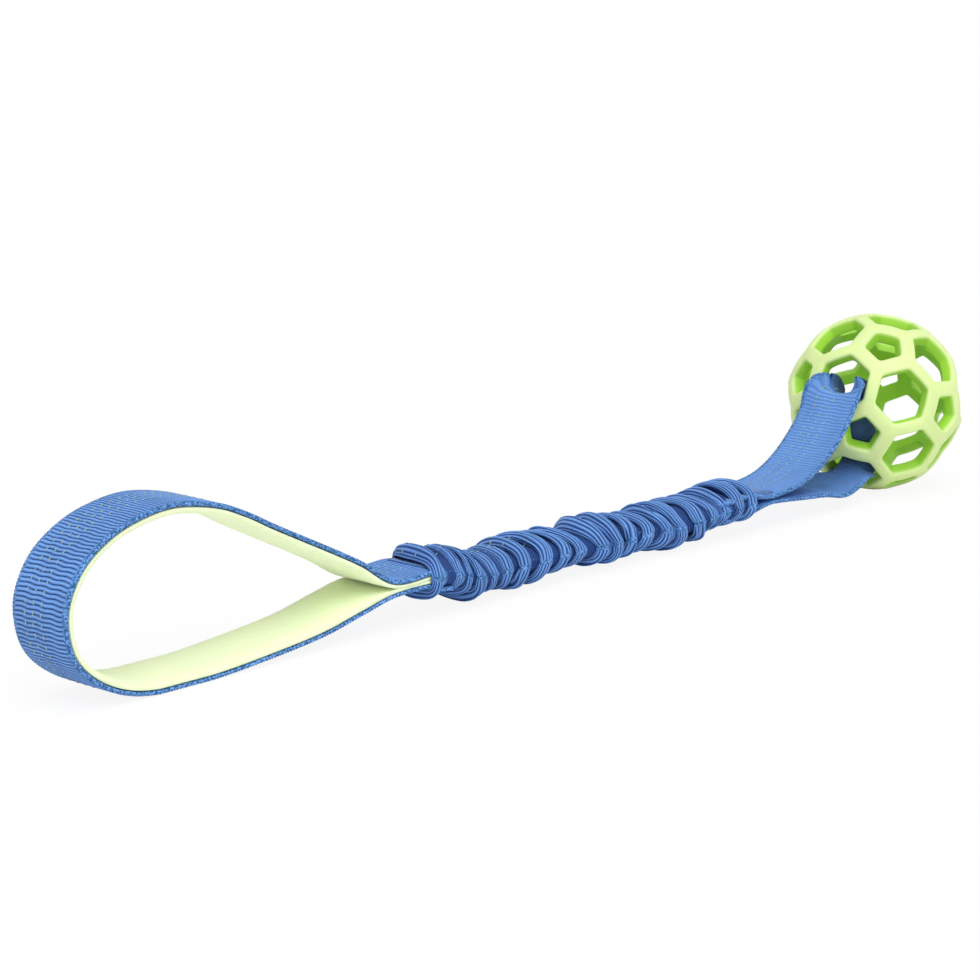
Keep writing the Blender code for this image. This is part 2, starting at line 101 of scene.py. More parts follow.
# Sleeve and what it holds
SLEEVE_WIDTH = 0.031
SLEEVE_MIDDLE_WIDTH = 0.0284
SLEEVE_HEIGHT = 0.0196
SLEEVE_SQUARENESS = 2.15
END_LIFT_SHARE = 0.25
TAIL_ROOM_SHARE = 1.4
HANDLE_END_LIFT = 0.0142
BALL_END_LIFT = 0.0118
ELASTIC_WIDTH = 0.0188
ELASTIC_THICKNESS = 0.0015
TAIL_LENGTH = 0.022
TAIL_SPACING = WEBBING_THICKNESS + 2 * ELASTIC_THICKNESS + 3 * SEAT_GAP
DOUBLED_SPACING = WEBBING_THICKNESS + SEAT_GAP

# How the sleeve's cloth lies: room for what it holds, the hem turned in at the flared
# mouth, and the narrower end at the strap
ROOM_AT_ELASTIC = 0.0098
ROOM_AT_WEBBING = 0.0134
ROOM_ABOVE = 0.0044
ROOM_AT_HEM = 0.0042
LEAST_ROOM = 0.001
HEM_LENGTH = 0.0072
HEM_TURN = 0.0045
SELVAGE_DROP = -0.06
FREE_LENGTH = 0.010
FLARE_LENGTH = 0.022
MOUTH_FLARE = 0.04
NECK_LENGTH = 0.030
END_NECK = 0.20
DRAWN_LENGTH = 0.048
MOUTH_DRAWN_IN = (0.0105, 0.0135, 0.0180, 0.0120)
END_SLANT = 0.0025
END_HOOD = 0.0015

# How uneven the folds are. Waves run along the cloth, and round it in whole turns
WAVE_TURNS = (0, 1, 1, 2, 2, 3)
WAVE_HEIGHTS = (0.6, 1.0)
WAVES_PER_FOLD = (0.5, 2.4)
WANDER_GAIN = 1.8
PITCH_SHARES = (0.60, 1.45)
FADE_SHARE = 0.6
DEPTH_SHARES = (0.1, 1.6)
CREASE_TURN = 1500.0
LEAN_SINK = 0.005
KINK_RUN = 0.0035
SLUMP_PACE, DROP_PACE, CREASE_PACE, KINK_PACE = 0.7, 0.6, 2.5, 0.9
UPRIGHT_POWER = 1.5
CLOTH_OFF_FLOOR = 0.0004
RIBS_OFF_FLOOR = 0.0002

# Relief of the weave. Turns are in radians for each metre
BEAD_PITCH_SHARE = 0.8
EDGE_RELIEF_SHARE = 0.8
SELVAGE_BLEND = 0.0005
RIB_WANDER_SHARE, RIB_TURN_ACROSS, RIB_TURN_ALONG = 0.10, 900, 160
TUBE_RIB_WANDER, TUBE_RIB_TURN = 0.0001, 500
TUBE_RIB_SHARPNESS, TUBE_RELIEF = 1.4, 1.15
TUBE_SELVAGE_SHARE, TUBE_SELVAGE_BLEND = 0.4, 0.0006
# Where painted shade starts in the sleeve's hollows, and over what further sink it deepens
HOLLOW_SHADE_START, HOLLOW_SHADE_RANGE = 0.0022, 0.0036

# Ball, and the strap's way through it. Angles are in the plane of the toy, in degrees
BALL_RADIUS = 0.035
BALL_WALL = 0.0050
WALL_MIDDLE = BALL_RADIUS - BALL_WALL / 2
CORNER_CUT_PERCENT = 100 / 3
HOLE_ANGLE = 157.2
RING_STEP = 72.0
RING_LEAN = 10.81
CORNER_ANGLE = 11.6
LIP_ANGLE = 168.0
SEAT_CUP = 2.05
NEAR_CUP = (2.05, 0.0045)
FAR_CUP = (2.05, 0.0083)
INSIDE_CUP = 1.25
OUTSIDE_CUP = 0.06
FLAT_CUP = 0.001
FORK_X = SLEEVE_END_X + 0.0125
UPPER_LEG_BOW = 0.0075
LOWER_LEG_SAG = 0.0045
LIP_GAP = 0.0010
INNER_CUP_LENGTH = 0.0115

# How much paler the grooves of the strap are than the hand loop's, and over what lengths
# painted shade darkens the strap: inside the ball, and a little way below
STRAP_WEAR = 0.5
PAINTED_SHADE_RUN = 0.0068
PAINTED_SHADE_BELOW = 0.012

# Stitching
THREAD_RADIUS = 0.00035
TACK_LENGTH = 0.0060
TACK_WIDTH = 0.0190
TACK_STITCHES = 26
POINTS_PER_STITCH = 4
HANDLE_TACK_SHARE = 1.5
FORK_TACK_SHARE = 1.1

# The hand loop's middle surface, as shares of its length and height, from the lower
# side of the pinch round to the upper side
LOOP_SHARES = (
    (0.856, 0.142), (0.726, 0.074), (0.543, 0.025), (0.395, 0.0), (0.248, 0.0),
    (0.146, 0.051), (0.065, 0.163), (0.017, 0.300), (0.0, 0.482), (0.012, 0.633),
    (0.054, 0.787), (0.124, 0.904), (0.205, 0.972), (0.304, 1.0), (0.420, 0.952),
    (0.508, 0.867), (0.596, 0.755), (0.778, 0.535), (0.860, 0.430),
)
UPPER_LEG_SHARES = ((0.25, 0.80), (0.50, 1.0), (0.78, 0.65))
LOWER_LEG_SHARES = ((0.28, 0.30), (0.52, 0.55), (0.78, 1.0))
HANDLE_TAIL_SHARES = (0.78, 0.9, 1.0)
BALL_TAIL_SHARES = (1.0, 0.6, 0.25)

# The rows of tracer yarn, as shares of the webbing's width from its near edge
TRACER_ROW_SHARES = (0.45, 0.60, 0.745)
TRACER_DIP_SHARE = 0.9
FIRST_TRACER = 0.002

# How finely the meshes are divided
SPLINE_PIECES = 24
HANDLE_STEPS, STRAP_STEPS, ELASTIC_STEPS = 440, 420, 120
OUTWARD_STEPS = 100
STRIP_COLUMNS, ELASTIC_COLUMNS, ELASTIC_KNOTS = 19, 9, 13
LINING_ROWS, LINING_COLUMNS = 700, 22
FOLD_POINTS = 33
TUBE_ROWS_PER_RIB = 4
CLOSE_COLUMNS, WIDE_COLUMNS = 5, 29
INSIDE_STRIDE = 3
NORMAL_STEP = 0.00015
AREA_ROWS, AREA_COLUMNS = 900, 90
ARC_STEPS, SIDE_STEPS = 6, 6

# The photograph's view: how far the camera stands from the ball's centre, and where it
# looks, in degrees, with its lens and sensor in millimetres
CAMERA_FROM_BALL = Vector((-0.9335, -0.6639, 0.2106))
CAMERA_AZIMUTH = 46.906
CAMERA_ELEVATION = 12.257
CAMERA_LENS = 106.53
CAMERA_SENSOR = 36.0


def linear(hex_colour):
    """An sRGB hex value as a linear colour."""
    channels = [int(hex_colour[k:k + 2], 16) / 255 for k in (1, 3, 5)]
    return tuple(c / 12.92 if c <= 0.04045 else ((c + 0.055) / 1.055) ** 2.4 for c in channels)


def smoothstep(value):
    value = np.clip(value, 0.0, 1.0)
    return value * value * (3.0 - 2.0 * value)


def unit(vectors):
    return vectors / np.linalg.norm(vectors, axis=-1, keepdims=True)


# Paths of the webbing

def direction(degrees):
    angle = math.radians(degrees)
    return Vector((math.cos(angle), 0.0, math.sin(angle)))


def up(distance):
    return Vector((0.0, 0.0, distance))


def spline_point(before, start, end, after, share):
    """A point of the Catmull-Rom curve between start and end."""
    square, cube = share * share, share * share * share
    return 0.5 * (
        2 * start
        + (end - before) * share
        + (2 * before - 5 * start + 4 * end - after) * square
        + (3 * start - before - 3 * end + after) * cube
    )


def smooth_path(knots, steps):
    """Points at even spacing along a smooth curve through the knots, as an array."""
    fine = []
    for i in range(len(knots) - 1):
        before = knots[max(i - 1, 0)]
        after = knots[min(i + 2, len(knots) - 1)]
        fine += [spline_point(before, knots[i], knots[i + 1], after, k / SPLINE_PIECES)
                 for k in range(SPLINE_PIECES)]
    fine = np.array([tuple(p) for p in fine + [knots[-1]]])
    lengths = np.concatenate([[0.0], np.cumsum(np.linalg.norm(np.diff(fine, axis=0), axis=1))])
    wanted = np.linspace(0.0, lengths[-1], steps + 1)
    return np.stack([np.interp(wanted, lengths, fine[:, k]) for k in range(3)], axis=-1)


def sleeve_axis_height(x):
    """The height of the sleeve's middle: it lies on the floor and lifts at both ends."""
    low = SLEEVE_HEIGHT / 2
    into = (x - MOUTH_X) / SLEEVE_LENGTH
    at_handle = (HANDLE_END_LIFT - low) * (1.0 - smoothstep(into / END_LIFT_SHARE))
    at_ball = (BALL_END_LIFT - low) * (1.0 - smoothstep((1.0 - into) / END_LIFT_SHARE))
    return low + at_handle + at_ball


def axis(x):
    return Vector((x, STRAP_PLANE, float(sleeve_axis_height(x))))


def handle_knots():
    """The hand loop's middle surface, from the lower tail's end round to the upper tail's."""
    half = WEBBING_THICKNESS / 2
    width = MOUTH_X - HANDLE_LEFT - half
    height = HANDLE_HEIGHT - WEBBING_THICKNESS
    loop = [
        Vector((HANDLE_LEFT + half + across * width, STRAP_PLANE, half + rise * height))
        for across, rise in LOOP_SHARES
    ]
    pinch = Vector((MOUTH_X + PINCH_REACH, STRAP_PLANE, HANDLE_END_LIFT))
    opened = Vector((MOUTH_X - OPEN_INSET, STRAP_PLANE, HANDLE_END_LIFT))
    closed_rise = up((WEBBING_THICKNESS + 2 * LINING_PINCHED + LINING_GAP) / 2)
    open_rise = closed_rise * NECK_OPENING
    tail_rise = up(TAIL_SPACING / 2)
    tails = [axis(MOUTH_X + TAIL_LENGTH * share) for share in HANDLE_TAIL_SHARES]
    lower = [point - tail_rise for point in reversed(tails)]
    upper = [point + tail_rise for point in tails]
    return (lower + [pinch - closed_rise, opened - open_rise] + loop
            + [opened + open_rise, pinch + closed_rise] + upper)


def hole_seat(angle, towards_strut):
    """Where the cupped strap's middle passes a hole of the ball's ring, and the way out."""
    out = direction(angle)
    side = direction(angle + 90.0 * towards_strut)
    cup = WEBBING_WIDTH / (2 * SEAT_CUP)
    centre = BALL_CENTRE + out * WALL_MIDDLE * math.cos(math.radians(RING_LEAN)) + side * cup
    return Vector((centre.x, STRAP_PLANE, centre.z)), out


def ball_point(angle, radius):
    """A point in the strap's plane at this distance from the ball's centre."""
    flat = math.sqrt(radius * radius - STRAP_PLANE * STRAP_PLANE)
    point = BALL_CENTRE + direction(angle) * flat
    return Vector((point.x, STRAP_PLANE, point.z))


def free_leg(start, end, shares, bow):
    """Points of a free leg of the strap, each off the straight line by its share of the bow."""
    heading = (end - start).normalized()
    off = Vector((-heading.z, 0.0, heading.x)) * -bow
    return [start.lerp(end, along) + off * depth for along, depth in shares]


def strap_knots():
    """The strap's middle line: out to the ball, round one strut from inside, and back."""
    entry, entry_out = hole_seat(HOLE_ANGLE, 1)
    leave, leave_out = hole_seat(HOLE_ANGLE + RING_STEP, -1)
    middle = HOLE_ANGLE + RING_STEP / 2
    outside = BALL_RADIUS + WEBBING_THICKNESS / 2 + LIP_GAP
    inside = BALL_RADIUS - BALL_WALL - WEBBING_THICKNESS / 2 - LIP_GAP
    tail_rise, doubled = up(TAIL_SPACING / 2), up(DOUBLED_SPACING / 2)
    tails = [axis(SLEEVE_END_X - TAIL_LENGTH * share) for share in BALL_TAIL_SHARES]
    flat_start, flat_end = axis(SLEEVE_END_X + TAIL_SPACING), axis(FORK_X)
    lip = ball_point(LIP_ANGLE, outside)
    lower_lip = leave + leave_out * BALL_WALL
    upper_leg = free_leg(flat_end + doubled, lip, UPPER_LEG_SHARES, UPPER_LEG_BOW)
    lower_leg = free_leg(flat_end - doubled, lower_lip, LOWER_LEG_SHARES, LOWER_LEG_SAG)
    return (
        [point + tail_rise for point in tails]
        + [flat_start + doubled, flat_end + doubled]
        + upper_leg
        + [lip, entry, entry - entry_out * BALL_WALL]
        + [ball_point(middle + turn, inside) for turn in (-CORNER_ANGLE / 2, CORNER_ANGLE / 2)]
        + [leave - leave_out * BALL_WALL, leave, lower_lip]
        + list(reversed(lower_leg))
        + [flat_end - doubled, flat_start - doubled]
        + [point - tail_rise for point in reversed(tails)]
    )


def strap_cups(path):
    """How far each section's near and far halves are cupped: most in the ball's holes, less
    inside, flat outside."""
    depth = np.linalg.norm(path - np.array(BALL_CENTRE), axis=1) - WALL_MIDDLE
    rest = np.where(depth > 0, OUTSIDE_CUP, INSIDE_CUP)
    cups = []
    for hole_cup, outer_length in (NEAR_CUP, FAR_CUP):
        away = smoothstep(np.abs(depth) / np.where(depth > 0, outer_length, INNER_CUP_LENGTH))
        cups.append(rest + (hole_cup - rest) * (1.0 - away))
    return cups


def strap_painted_shade(path):
    """How much painted shade darkens each section: fully so inside the ball, fading out below it.
    """
    sunk = BALL_RADIUS - np.linalg.norm(path - np.array(BALL_CENTRE), axis=1)
    below = PAINTED_SHADE_BELOW * (np.arange(len(path)) > len(path) / 2)
    return smoothstep((sunk + below) / (PAINTED_SHADE_RUN + below))


# Surfaces of woven strips and of the gathered tube

class Strip:
    """A flat strip that follows a path in the toy's plane, cupped across where it says."""

    def __init__(self, path, width, cups=None, painted_shade=None):
        ahead = np.gradient(path, axis=0)
        steps = np.linalg.norm(np.diff(path, axis=0), axis=1)
        self.path, self.width = path, width
        self.turn = np.unwrap(np.arctan2(ahead[:, 2], ahead[:, 0]))
        self.along = np.concatenate([[0.0], np.cumsum(steps)])
        self.length = self.along[-1]
        flat = np.full(len(path), FLAT_CUP)
        self.near_cups, self.far_cups = (flat, flat) if cups is None else cups
        # The share of painted shade at each point of the path
        self.painted_shade = np.zeros(len(path)) if painted_shade is None else painted_shade

    def place(self, along, across, lift):
        """Points along and across the strip, lifted off its middle surface."""
        along, across, lift = np.broadcast_arrays(along, across, lift)
        centre = np.stack([np.interp(along, self.along, self.path[:, k]) for k in range(3)], -1)
        turn = np.interp(along, self.along, self.turn)
        outward = np.stack([-np.sin(turn), np.zeros(turn.shape), np.cos(turn)], -1)
        cup = np.where(across < 0, np.interp(along, self.along, self.near_cups),
                       np.interp(along, self.along, self.far_cups))
        bend = (2 * across * cup / self.width)[..., None]
        radius = (self.width / (2 * cup))[..., None]
        spoke = np.sin(bend) * np.array([0.0, 1.0, 0.0]) - np.cos(bend) * outward
        return centre + outward * radius + spoke * (radius - lift[..., None])


class GatheredTube:
    """A flat-woven tube pushed together on its elastic, in folds that wander round it."""

    def __init__(self, sizes):
        chance = random.Random(sizes.seed)
        self.sizes = sizes
        self.perimeter = math.tau * math.hypot(SLEEVE_WIDTH, SLEEVE_HEIGHT) / math.sqrt(8)
        self.waves = {
            name: [self.wave(chance, turns) for turns in WAVE_TURNS]
            for name in ("slump", "fade", "drop", "crease")
        }
        self.weave(chance, sizes)

    @staticmethod
    def wave(chance, turns):
        """Height, waves per fold, turns round the tube and start of one smooth wave."""
        height = chance.uniform(*WAVE_HEIGHTS) / (1 + turns)
        return height, chance.uniform(*WAVES_PER_FOLD), turns, chance.uniform(0.0, math.tau)

    def wander(self, name, fold, angle):
        """A smooth uneven value from about -1 to 1, the same all round where it closes."""
        total = sum(height * np.sin(speed * fold + turns * angle + start)
                    for height, speed, turns, start in self.waves[name])
        return total / sum(height for height, *_ in self.waves[name]) * WANDER_GAIN

    def weave(self, chance, sizes):
        """Runs the cloth from crest to crest, each fold a curve whose slope swings as a wave
        that lingers on the crest and hurries through the hollow."""
        share = np.linspace(0.0, 1.0, FOLD_POINTS)
        turn = math.tau * (share[1:] + share[:-1]) / 2
        turn -= sizes.crest_width * np.sin(turn)
        step = 1.0 / (len(share) - 1)
        pitches = np.array([chance.uniform(*PITCH_SHARES) for _ in range(sizes.folds)])
        pitches *= SLEEVE_LENGTH / pitches.sum()
        cloth, along, sink, fold = [0.0], [MOUTH_X], [0.0], [0.0]
        for number, pitch in enumerate(pitches):
            slope = chance.uniform(sizes.swing_low, sizes.swing_high) * np.sin(turn)
            forward = np.cumsum(np.cos(slope)) * step
            inward = np.cumsum(np.sin(slope)) * step
            length = pitch / forward[-1]
            x, s = along[-1], cloth[-1]
            cloth += list(s + length * share[1:])
            along += list(x + length * forward)
            sink += list(length * inward)
            fold += list(number + share[1:])
        table = np.array([cloth, along, sink, fold])
        hollow = 0.5
        table = table[:, (table[3] >= hollow) & (table[3] <= sizes.folds - hollow)]
        table[0] -= table[0, 0]
        table[1] = np.interp(table[1], table[1, [0, -1]], [MOUTH_X, SLEEVE_END_X])
        self.cloth, self.along, self.sink, self.fold = table
        self.length = self.cloth[-1]

    def from_selvage(self, around):
        """The distance along the cloth to the nearer woven edge."""
        half = self.perimeter / 2
        return np.minimum(around % half, half - around % half)

    def sheet(self, cloth, around):
        """The cloth's outer surface: a place along the cloth and round it from the near selvage."""
        cloth, around = np.broadcast_arrays(cloth, around)
        x = np.interp(cloth, self.cloth, self.along)
        sink = np.interp(cloth, self.cloth, self.sink)
        fold = np.interp(cloth, self.cloth, self.fold)
        angle = math.tau * around / self.perimeter - SELVAGE_DROP
        cosine, sine = np.cos(angle), np.sin(angle)
        into, left = x - MOUTH_X, SLEEVE_END_X - x
        near_end = np.minimum(into, left)
        free = smoothstep(near_end / FREE_LENGTH)
        tails = 1.0 - smoothstep(near_end / TAIL_LENGTH - TAIL_ROOM_SHARE)
        mouth = 1.0 - smoothstep(into / FLARE_LENGTH)
        neck = 1.0 - smoothstep(left / NECK_LENGTH)
        width = (SLEEVE_MIDDLE_WIDTH + (SLEEVE_WIDTH - SLEEVE_MIDDLE_WIDTH) * tails) / 2
        height = SLEEVE_HEIGHT / 2 * (1.0 + MOUTH_FLARE * mouth - END_NECK * neck)
        side, rise, away = self.section(cosine, sine, width, height)

        inward = self.inward(cloth, sink, fold, angle, free)
        upness = np.abs(sine) ** UPRIGHT_POWER
        hem = (1.0 - smoothstep(cloth / HEM_LENGTH)) * upness * upness
        beside = np.maximum(width - ROOM_AT_ELASTIC, LEAST_ROOM)
        limit_side = beside + (width - ROOM_AT_WEBBING - beside) * tails
        limit_up = height - ROOM_ABOVE + (ROOM_ABOVE - ROOM_AT_HEM) * hem
        limit = limit_side + (limit_up - limit_side) * upness
        inward = limit * np.tanh((inward + HEM_TURN * hem) / limit)

        slump = self.sizes.slump * self.wander("slump", fold * SLUMP_PACE, angle) * free
        lean = self.sizes.lean * sink / LEAN_SINK * free
        kink = self.sizes.kink * np.exp(-self.from_selvage(around) / KINK_RUN)
        kink *= (0.6 + 0.6 * self.wander("crease", fold * KINK_PACE, 0.0)) * free
        y = STRAP_PLANE - (side * width - away[..., 0] * inward)
        z = sleeve_axis_height(x) + rise * height - away[..., 1] * inward
        x = x + slump + lean + kink + self.mouth_line(into, cosine, sine, left)
        return np.stack([x, y, np.maximum(z, CLOTH_OFF_FLOOR)], -1)

    @staticmethod
    def section(cosine, sine, width, height):
        """The flattened outline round the tube, as shares of its size, and the way out of it."""
        power = 2 / SLEEVE_SQUARENESS
        side = np.sign(cosine) * np.abs(cosine) ** power
        rise = np.sign(sine) * np.abs(sine) ** power
        away = np.stack([
            np.sign(side) * np.abs(side) ** (SLEEVE_SQUARENESS - 1) / width,
            np.sign(rise) * np.abs(rise) ** (SLEEVE_SQUARENESS - 1) / height,
        ], -1)
        return side, rise, unit(away)

    def inward(self, cloth, sink, fold, angle, free):
        """How far the folds, their uneven heights and the small creases draw the cloth in."""
        fade = 1.0 + FADE_SHARE * free * self.wander("fade", fold, angle)
        low = 0.5 + 0.5 * self.wander("drop", fold * DROP_PACE, angle)
        drop = self.sizes.unevenness * low * free
        strength = np.clip(self.wander("crease", fold * CREASE_PACE, angle), 0.0, 1.0)
        turn = cloth * CREASE_TURN + 2.0 * self.wander("slump", fold, angle)
        creases = self.sizes.creases * strength * np.sin(turn)
        return sink * np.clip(fade, *DEPTH_SHARES) + np.clip(drop, 0.0, None) + creases * free

    @staticmethod
    def mouth_line(into, cosine, sine, left):
        """How far the cloth is drawn in from the square ends of the sleeve, round its edge."""
        near, top, far, bottom = MOUTH_DRAWN_IN
        beside = near * np.clip(cosine, 0.0, 1.0) ** 2 + far * np.clip(-cosine, 0.0, 1.0) ** 2
        above = top * np.clip(sine, 0.0, 1.0) ** 2 + bottom * np.clip(-sine, 0.0, 1.0) ** 2
        at_handle = (beside + above) * (1.0 - smoothstep(into / DRAWN_LENGTH))
        at_ball = (-END_SLANT * cosine + END_HOOD * sine) * (1.0 - smoothstep(left / NECK_LENGTH))
        return at_handle + at_ball

    def place(self, along, around, lift):
        """Points of the cloth, lifted off its outer surface along the normal."""
        ahead = self.sheet(along + NORMAL_STEP, around) - self.sheet(along - NORMAL_STEP, around)
        beside = self.sheet(along, around + NORMAL_STEP) - self.sheet(along, around - NORMAL_STEP)
        normal = np.cross(ahead, beside)
        normal /= np.maximum(np.linalg.norm(normal, axis=-1, keepdims=True), 1e-12)
        points = self.sheet(along, around)
        centre = points.copy()
        centre[..., 1] = STRAP_PLANE
        centre[..., 2] = sleeve_axis_height(points[..., 0])
        outward = np.einsum("...k,...k", normal, points - centre)
        normal *= np.where(outward.mean() < 0, -1.0, 1.0)
        points = points + normal * np.broadcast_to(lift, points.shape[:-1])[..., None]
        points[..., 2] = np.maximum(points[..., 2], RIBS_OFF_FLOOR)
        return points

    def place_on_top(self, along, across, lift):
        """Points of the upper cloth, measured across from its middle."""
        return self.place(along, across + self.perimeter / 4, lift)


def rib_profile(along, pitch, sharpness=0.9):
    """Round ribs with grooves between them, from 0 in a groove to 1 on a crest."""
    return np.abs(np.sin(math.pi * along / pitch)) ** sharpness


def selvage_beads(along, columns, rib_pitch):
    """The selvage's braid: beads that stand staggered from column to column."""
    stagger = (np.arange(columns) % 2)[None, :] * rib_pitch / 2
    return rib_profile(along + stagger, rib_pitch * BEAD_PITCH_SHARE)


def strip_section(width, thickness, columns):
    """Across, lift and side (1 outer, -1 inner, 0 edge) of the points round a strip's section."""
    inset = thickness / 2
    face = np.linspace(inset - width / 2, width / 2 - inset, columns)
    turn = np.radians([50.0, 0.0, -50.0])
    edge, rise = width / 2 - inset + inset * np.cos(turn), inset * np.sin(turn)
    flat = np.ones(columns)
    across = np.concatenate([face, edge, face[::-1], -edge[::-1]])
    lift = np.concatenate([flat * inset, rise, -flat * inset, rise[::-1]])
    side = np.concatenate([flat, np.zeros(3), -flat, np.zeros(3)])
    return across, lift, side


def woven_strip(name, strip, thickness, weave, columns=STRIP_COLUMNS):
    """A strip of webbing whose ribs and braided selvages are real relief."""
    across, lift, side = strip_section(strip.width, thickness, columns)
    rows = int(strip.length / weave.rib_pitch * weave.steps_per_rib)
    along = np.linspace(0.0, strip.length, rows + 1)[:, None]
    uneven = weave.rib_pitch * RIB_WANDER_SHARE * np.sin(
        across[None, :] * RIB_TURN_ACROSS + along * RIB_TURN_ALONG)
    from_selvage = np.abs(across) - (strip.width / 2 - weave.selvage)
    edge = smoothstep(from_selvage / SELVAGE_BLEND)[None, :]
    beads = selvage_beads(along, len(across), weave.rib_pitch)
    height = rib_profile(along + uneven, weave.rib_pitch) * (1 - edge) + beads * edge
    relief = weave.rib_depth * (1.0 - height)
    lifted = lift[None, :] - np.sign(lift)[None, :] * relief
    shifted = across[None, :] - np.sign(across)[None, :] * relief * EDGE_RELIEF_SHARE * (side == 0)
    grid = strip.place(along, shifted, lifted)
    # Painted shade: the weave's height goes below zero, and the selvage's speckle fades
    painted_shade = np.interp(along, strip.along, strip.painted_shade)
    shading = height * (1.0 - painted_shade) - painted_shade
    pattern = np.stack(np.broadcast_arrays(along, across[None, :], shading), -1)
    return grid_object(name, grid, pattern, edge * (1.0 - painted_shade))


def quads_round(first, second):
    """Quads from rows of point numbers to the next rows, each row closing round."""
    quads = np.stack([first, np.roll(first, -1, 1), np.roll(second, -1, 1), second], -1)
    return quads.reshape(-1, 4)


def grid_object(name, grid, pattern, selvage=None, ring=False):
    """A closed mesh over rows of points, capped at both ends unless the rows close up."""
    rows, columns = grid.shape[:2]
    index = np.arange(rows * columns).reshape(rows, columns)
    first, second = (index, np.roll(index, -1, 0)) if ring else (index[:-1], index[1:])
    faces = quads_round(first, second).tolist()
    if not ring:
        faces += [index[0][::-1].tolist(), index[-1].tolist()]
    return mesh_object(name, grid.reshape(-1, 3), faces, pattern.reshape(-1, 3), selvage)


def new_object(name, data):
    """A new object in the scene."""
    obj = bpy.data.objects.new(name, data)
    bpy.context.scene.collection.objects.link(obj)
    return obj


def mesh_object(name, points, faces, pattern=None, selvage=None):
    """A mesh, with its pattern (along, across, height of the weave) and selvage share."""
    corner = points[np.array([face[:3] for face in faces])]
    volume = np.einsum("ij,ij", corner[:, 0], np.cross(corner[:, 1], corner[:, 2]))
    if volume < 0:
        faces = [face[::-1] for face in faces]
    mesh = bpy.data.meshes.new(name)
    mesh.from_pydata(points.tolist(), [], faces)
    if pattern is not None:
        weave = mesh.attributes.new("weave", "FLOAT_VECTOR", "POINT")
        weave.data.foreach_set("vector", pattern.astype(np.float32).ravel())
    if selvage is not None:
        edge = mesh.attributes.new("selvage", "FLOAT", "POINT")
        edge.data.foreach_set("value", selvage.astype(np.float32).ravel())
    mesh.shade_smooth()
    return new_object(name, mesh)


def football():
    """The corners and faces of a football's pentagons and hexagons, turned as the ball lies."""
    bm = bmesh.new()
    bmesh.ops.create_icosphere(bm, subdivisions=1, radius=BALL_RADIUS)
    bmesh.ops.bevel(
        bm, geom=bm.verts[:], offset=CORNER_CUT_PERCENT, offset_type="PERCENT",
        affect="VERTICES", segments=1, profile=0.5,
    )
    spin = math.radians(180.0 - HOLE_ANGLE)
    turn = Matrix.Rotation(spin, 4, "Y") @ Matrix.Rotation(math.radians(90), 4, "X")
    bmesh.ops.transform(bm, matrix=turn, verts=bm.verts[:])
    bm.verts.index_update()
    corners = np.array([vertex.co.normalized()[:] for vertex in bm.verts]) * BALL_RADIUS
    faces = [[vertex.index for vertex in face.verts] for face in bm.faces]
    bm.free()
    return corners, faces


def opening_rings(corners, sizes):
    """Rings of points round one opening, from the outer skin over its rounded edge, down
    the wall and round the inner edge. Each is a polygon with rounded corners."""
    middle = corners.mean(axis=0)
    spokes = corners - middle
    reach = np.linalg.norm(spokes[0])
    spokes = (spokes / reach)[:, None]
    beside = np.cross(middle / np.linalg.norm(middle), spokes)
    half = math.pi / len(corners)
    extra, draft = (sizes.pentagon_rim, sizes.draft) if len(corners) == 5 else (0.0, 0.0)
    apothem = reach * math.cos(half) - sizes.strut_width / 2 - extra
    centre = (apothem - sizes.corner_round) / math.cos(half)
    fan = np.linspace(-half, half, ARC_STEPS + 1)[None, :, None]
    share = np.linspace(0.0, 1.0, SIDE_STEPS + 1)[1:-1][None, :, None]
    turns = np.radians([0.0, 30.0, 60.0, 90.0])
    outer, inner = sizes.edge_round, sizes.edge_round / 2
    profile = [(outer * (1 - math.sin(a)), BALL_RADIUS - outer * (1 - math.cos(a)))
               for a in turns]
    profile += [(inner * (1 - math.sin(a)) - draft,
                 BALL_RADIUS - BALL_WALL + inner * (1 - math.cos(a))) for a in turns[::-1]]
    rings = []
    for widen, radius in profile:
        bend = sizes.corner_round + widen
        arcs = (middle + spokes * (centre + bend * np.cos(fan)) + beside * bend * np.sin(fan))
        ahead = np.roll(arcs, -1, 0)[:, :1]
        sides = arcs[:, -1:] + (ahead - arcs[:, -1:]) * share
        ring = np.concatenate([arcs, sides], axis=1).reshape(-1, 3)
        rings.append(unit(ring) * radius)
    return np.array(rings)


def ball_skin(corners, faces, rings, starts, level, radius, total):
    """The skin between the openings, outside (level 0) or inside (level -1): two strips along
    the middle of each strut, and a fan at each corner. Gives its new points and its faces."""
    span = ARC_STEPS + SIDE_STEPS
    rows, arcs = {}, []
    for face, ring, start in zip(faces, rings, starts):
        size = ring.shape[1]
        first = start + (level % len(ring)) * size
        for side, corner in enumerate(face):
            place = (side * span + ARC_STEPS + np.arange(SIDE_STEPS + 1)) % size
            rows[corner, face[(side + 1) % len(face)]] = (first + place, ring[level][place])
            arcs.append((corner, first + side * span + np.arange(ARC_STEPS + 1)))
    points, middles = [], {}
    for (low, high), (_, line) in rows.items():
        if low < high:
            middle = line + rows[high, low][1][::-1]
            points.append(unit(middle) * radius)
            middles[low, high] = total + np.arange(SIDE_STEPS + 1)
            middles[high, low] = middles[low, high][::-1]
            total += SIDE_STEPS + 1
    hubs = total + np.arange(len(corners))
    points.append(corners / BALL_RADIUS * radius)
    skin = []
    for (low, high), (row, _) in rows.items():
        middle = middles[low, high]
        skin += [[row[k + 1], row[k], middle[k], middle[k + 1]] for k in range(SIDE_STEPS)]
        skin += [[middle[0], row[0], hubs[low]], [row[-1], middle[-1], hubs[high]]]
    for corner, arc in arcs:
        skin += [[arc[k + 1], arc[k], hubs[corner]] for k in range(ARC_STEPS)]
    return points, [[int(k) for k in (face if level == 0 else face[::-1])] for face in skin]


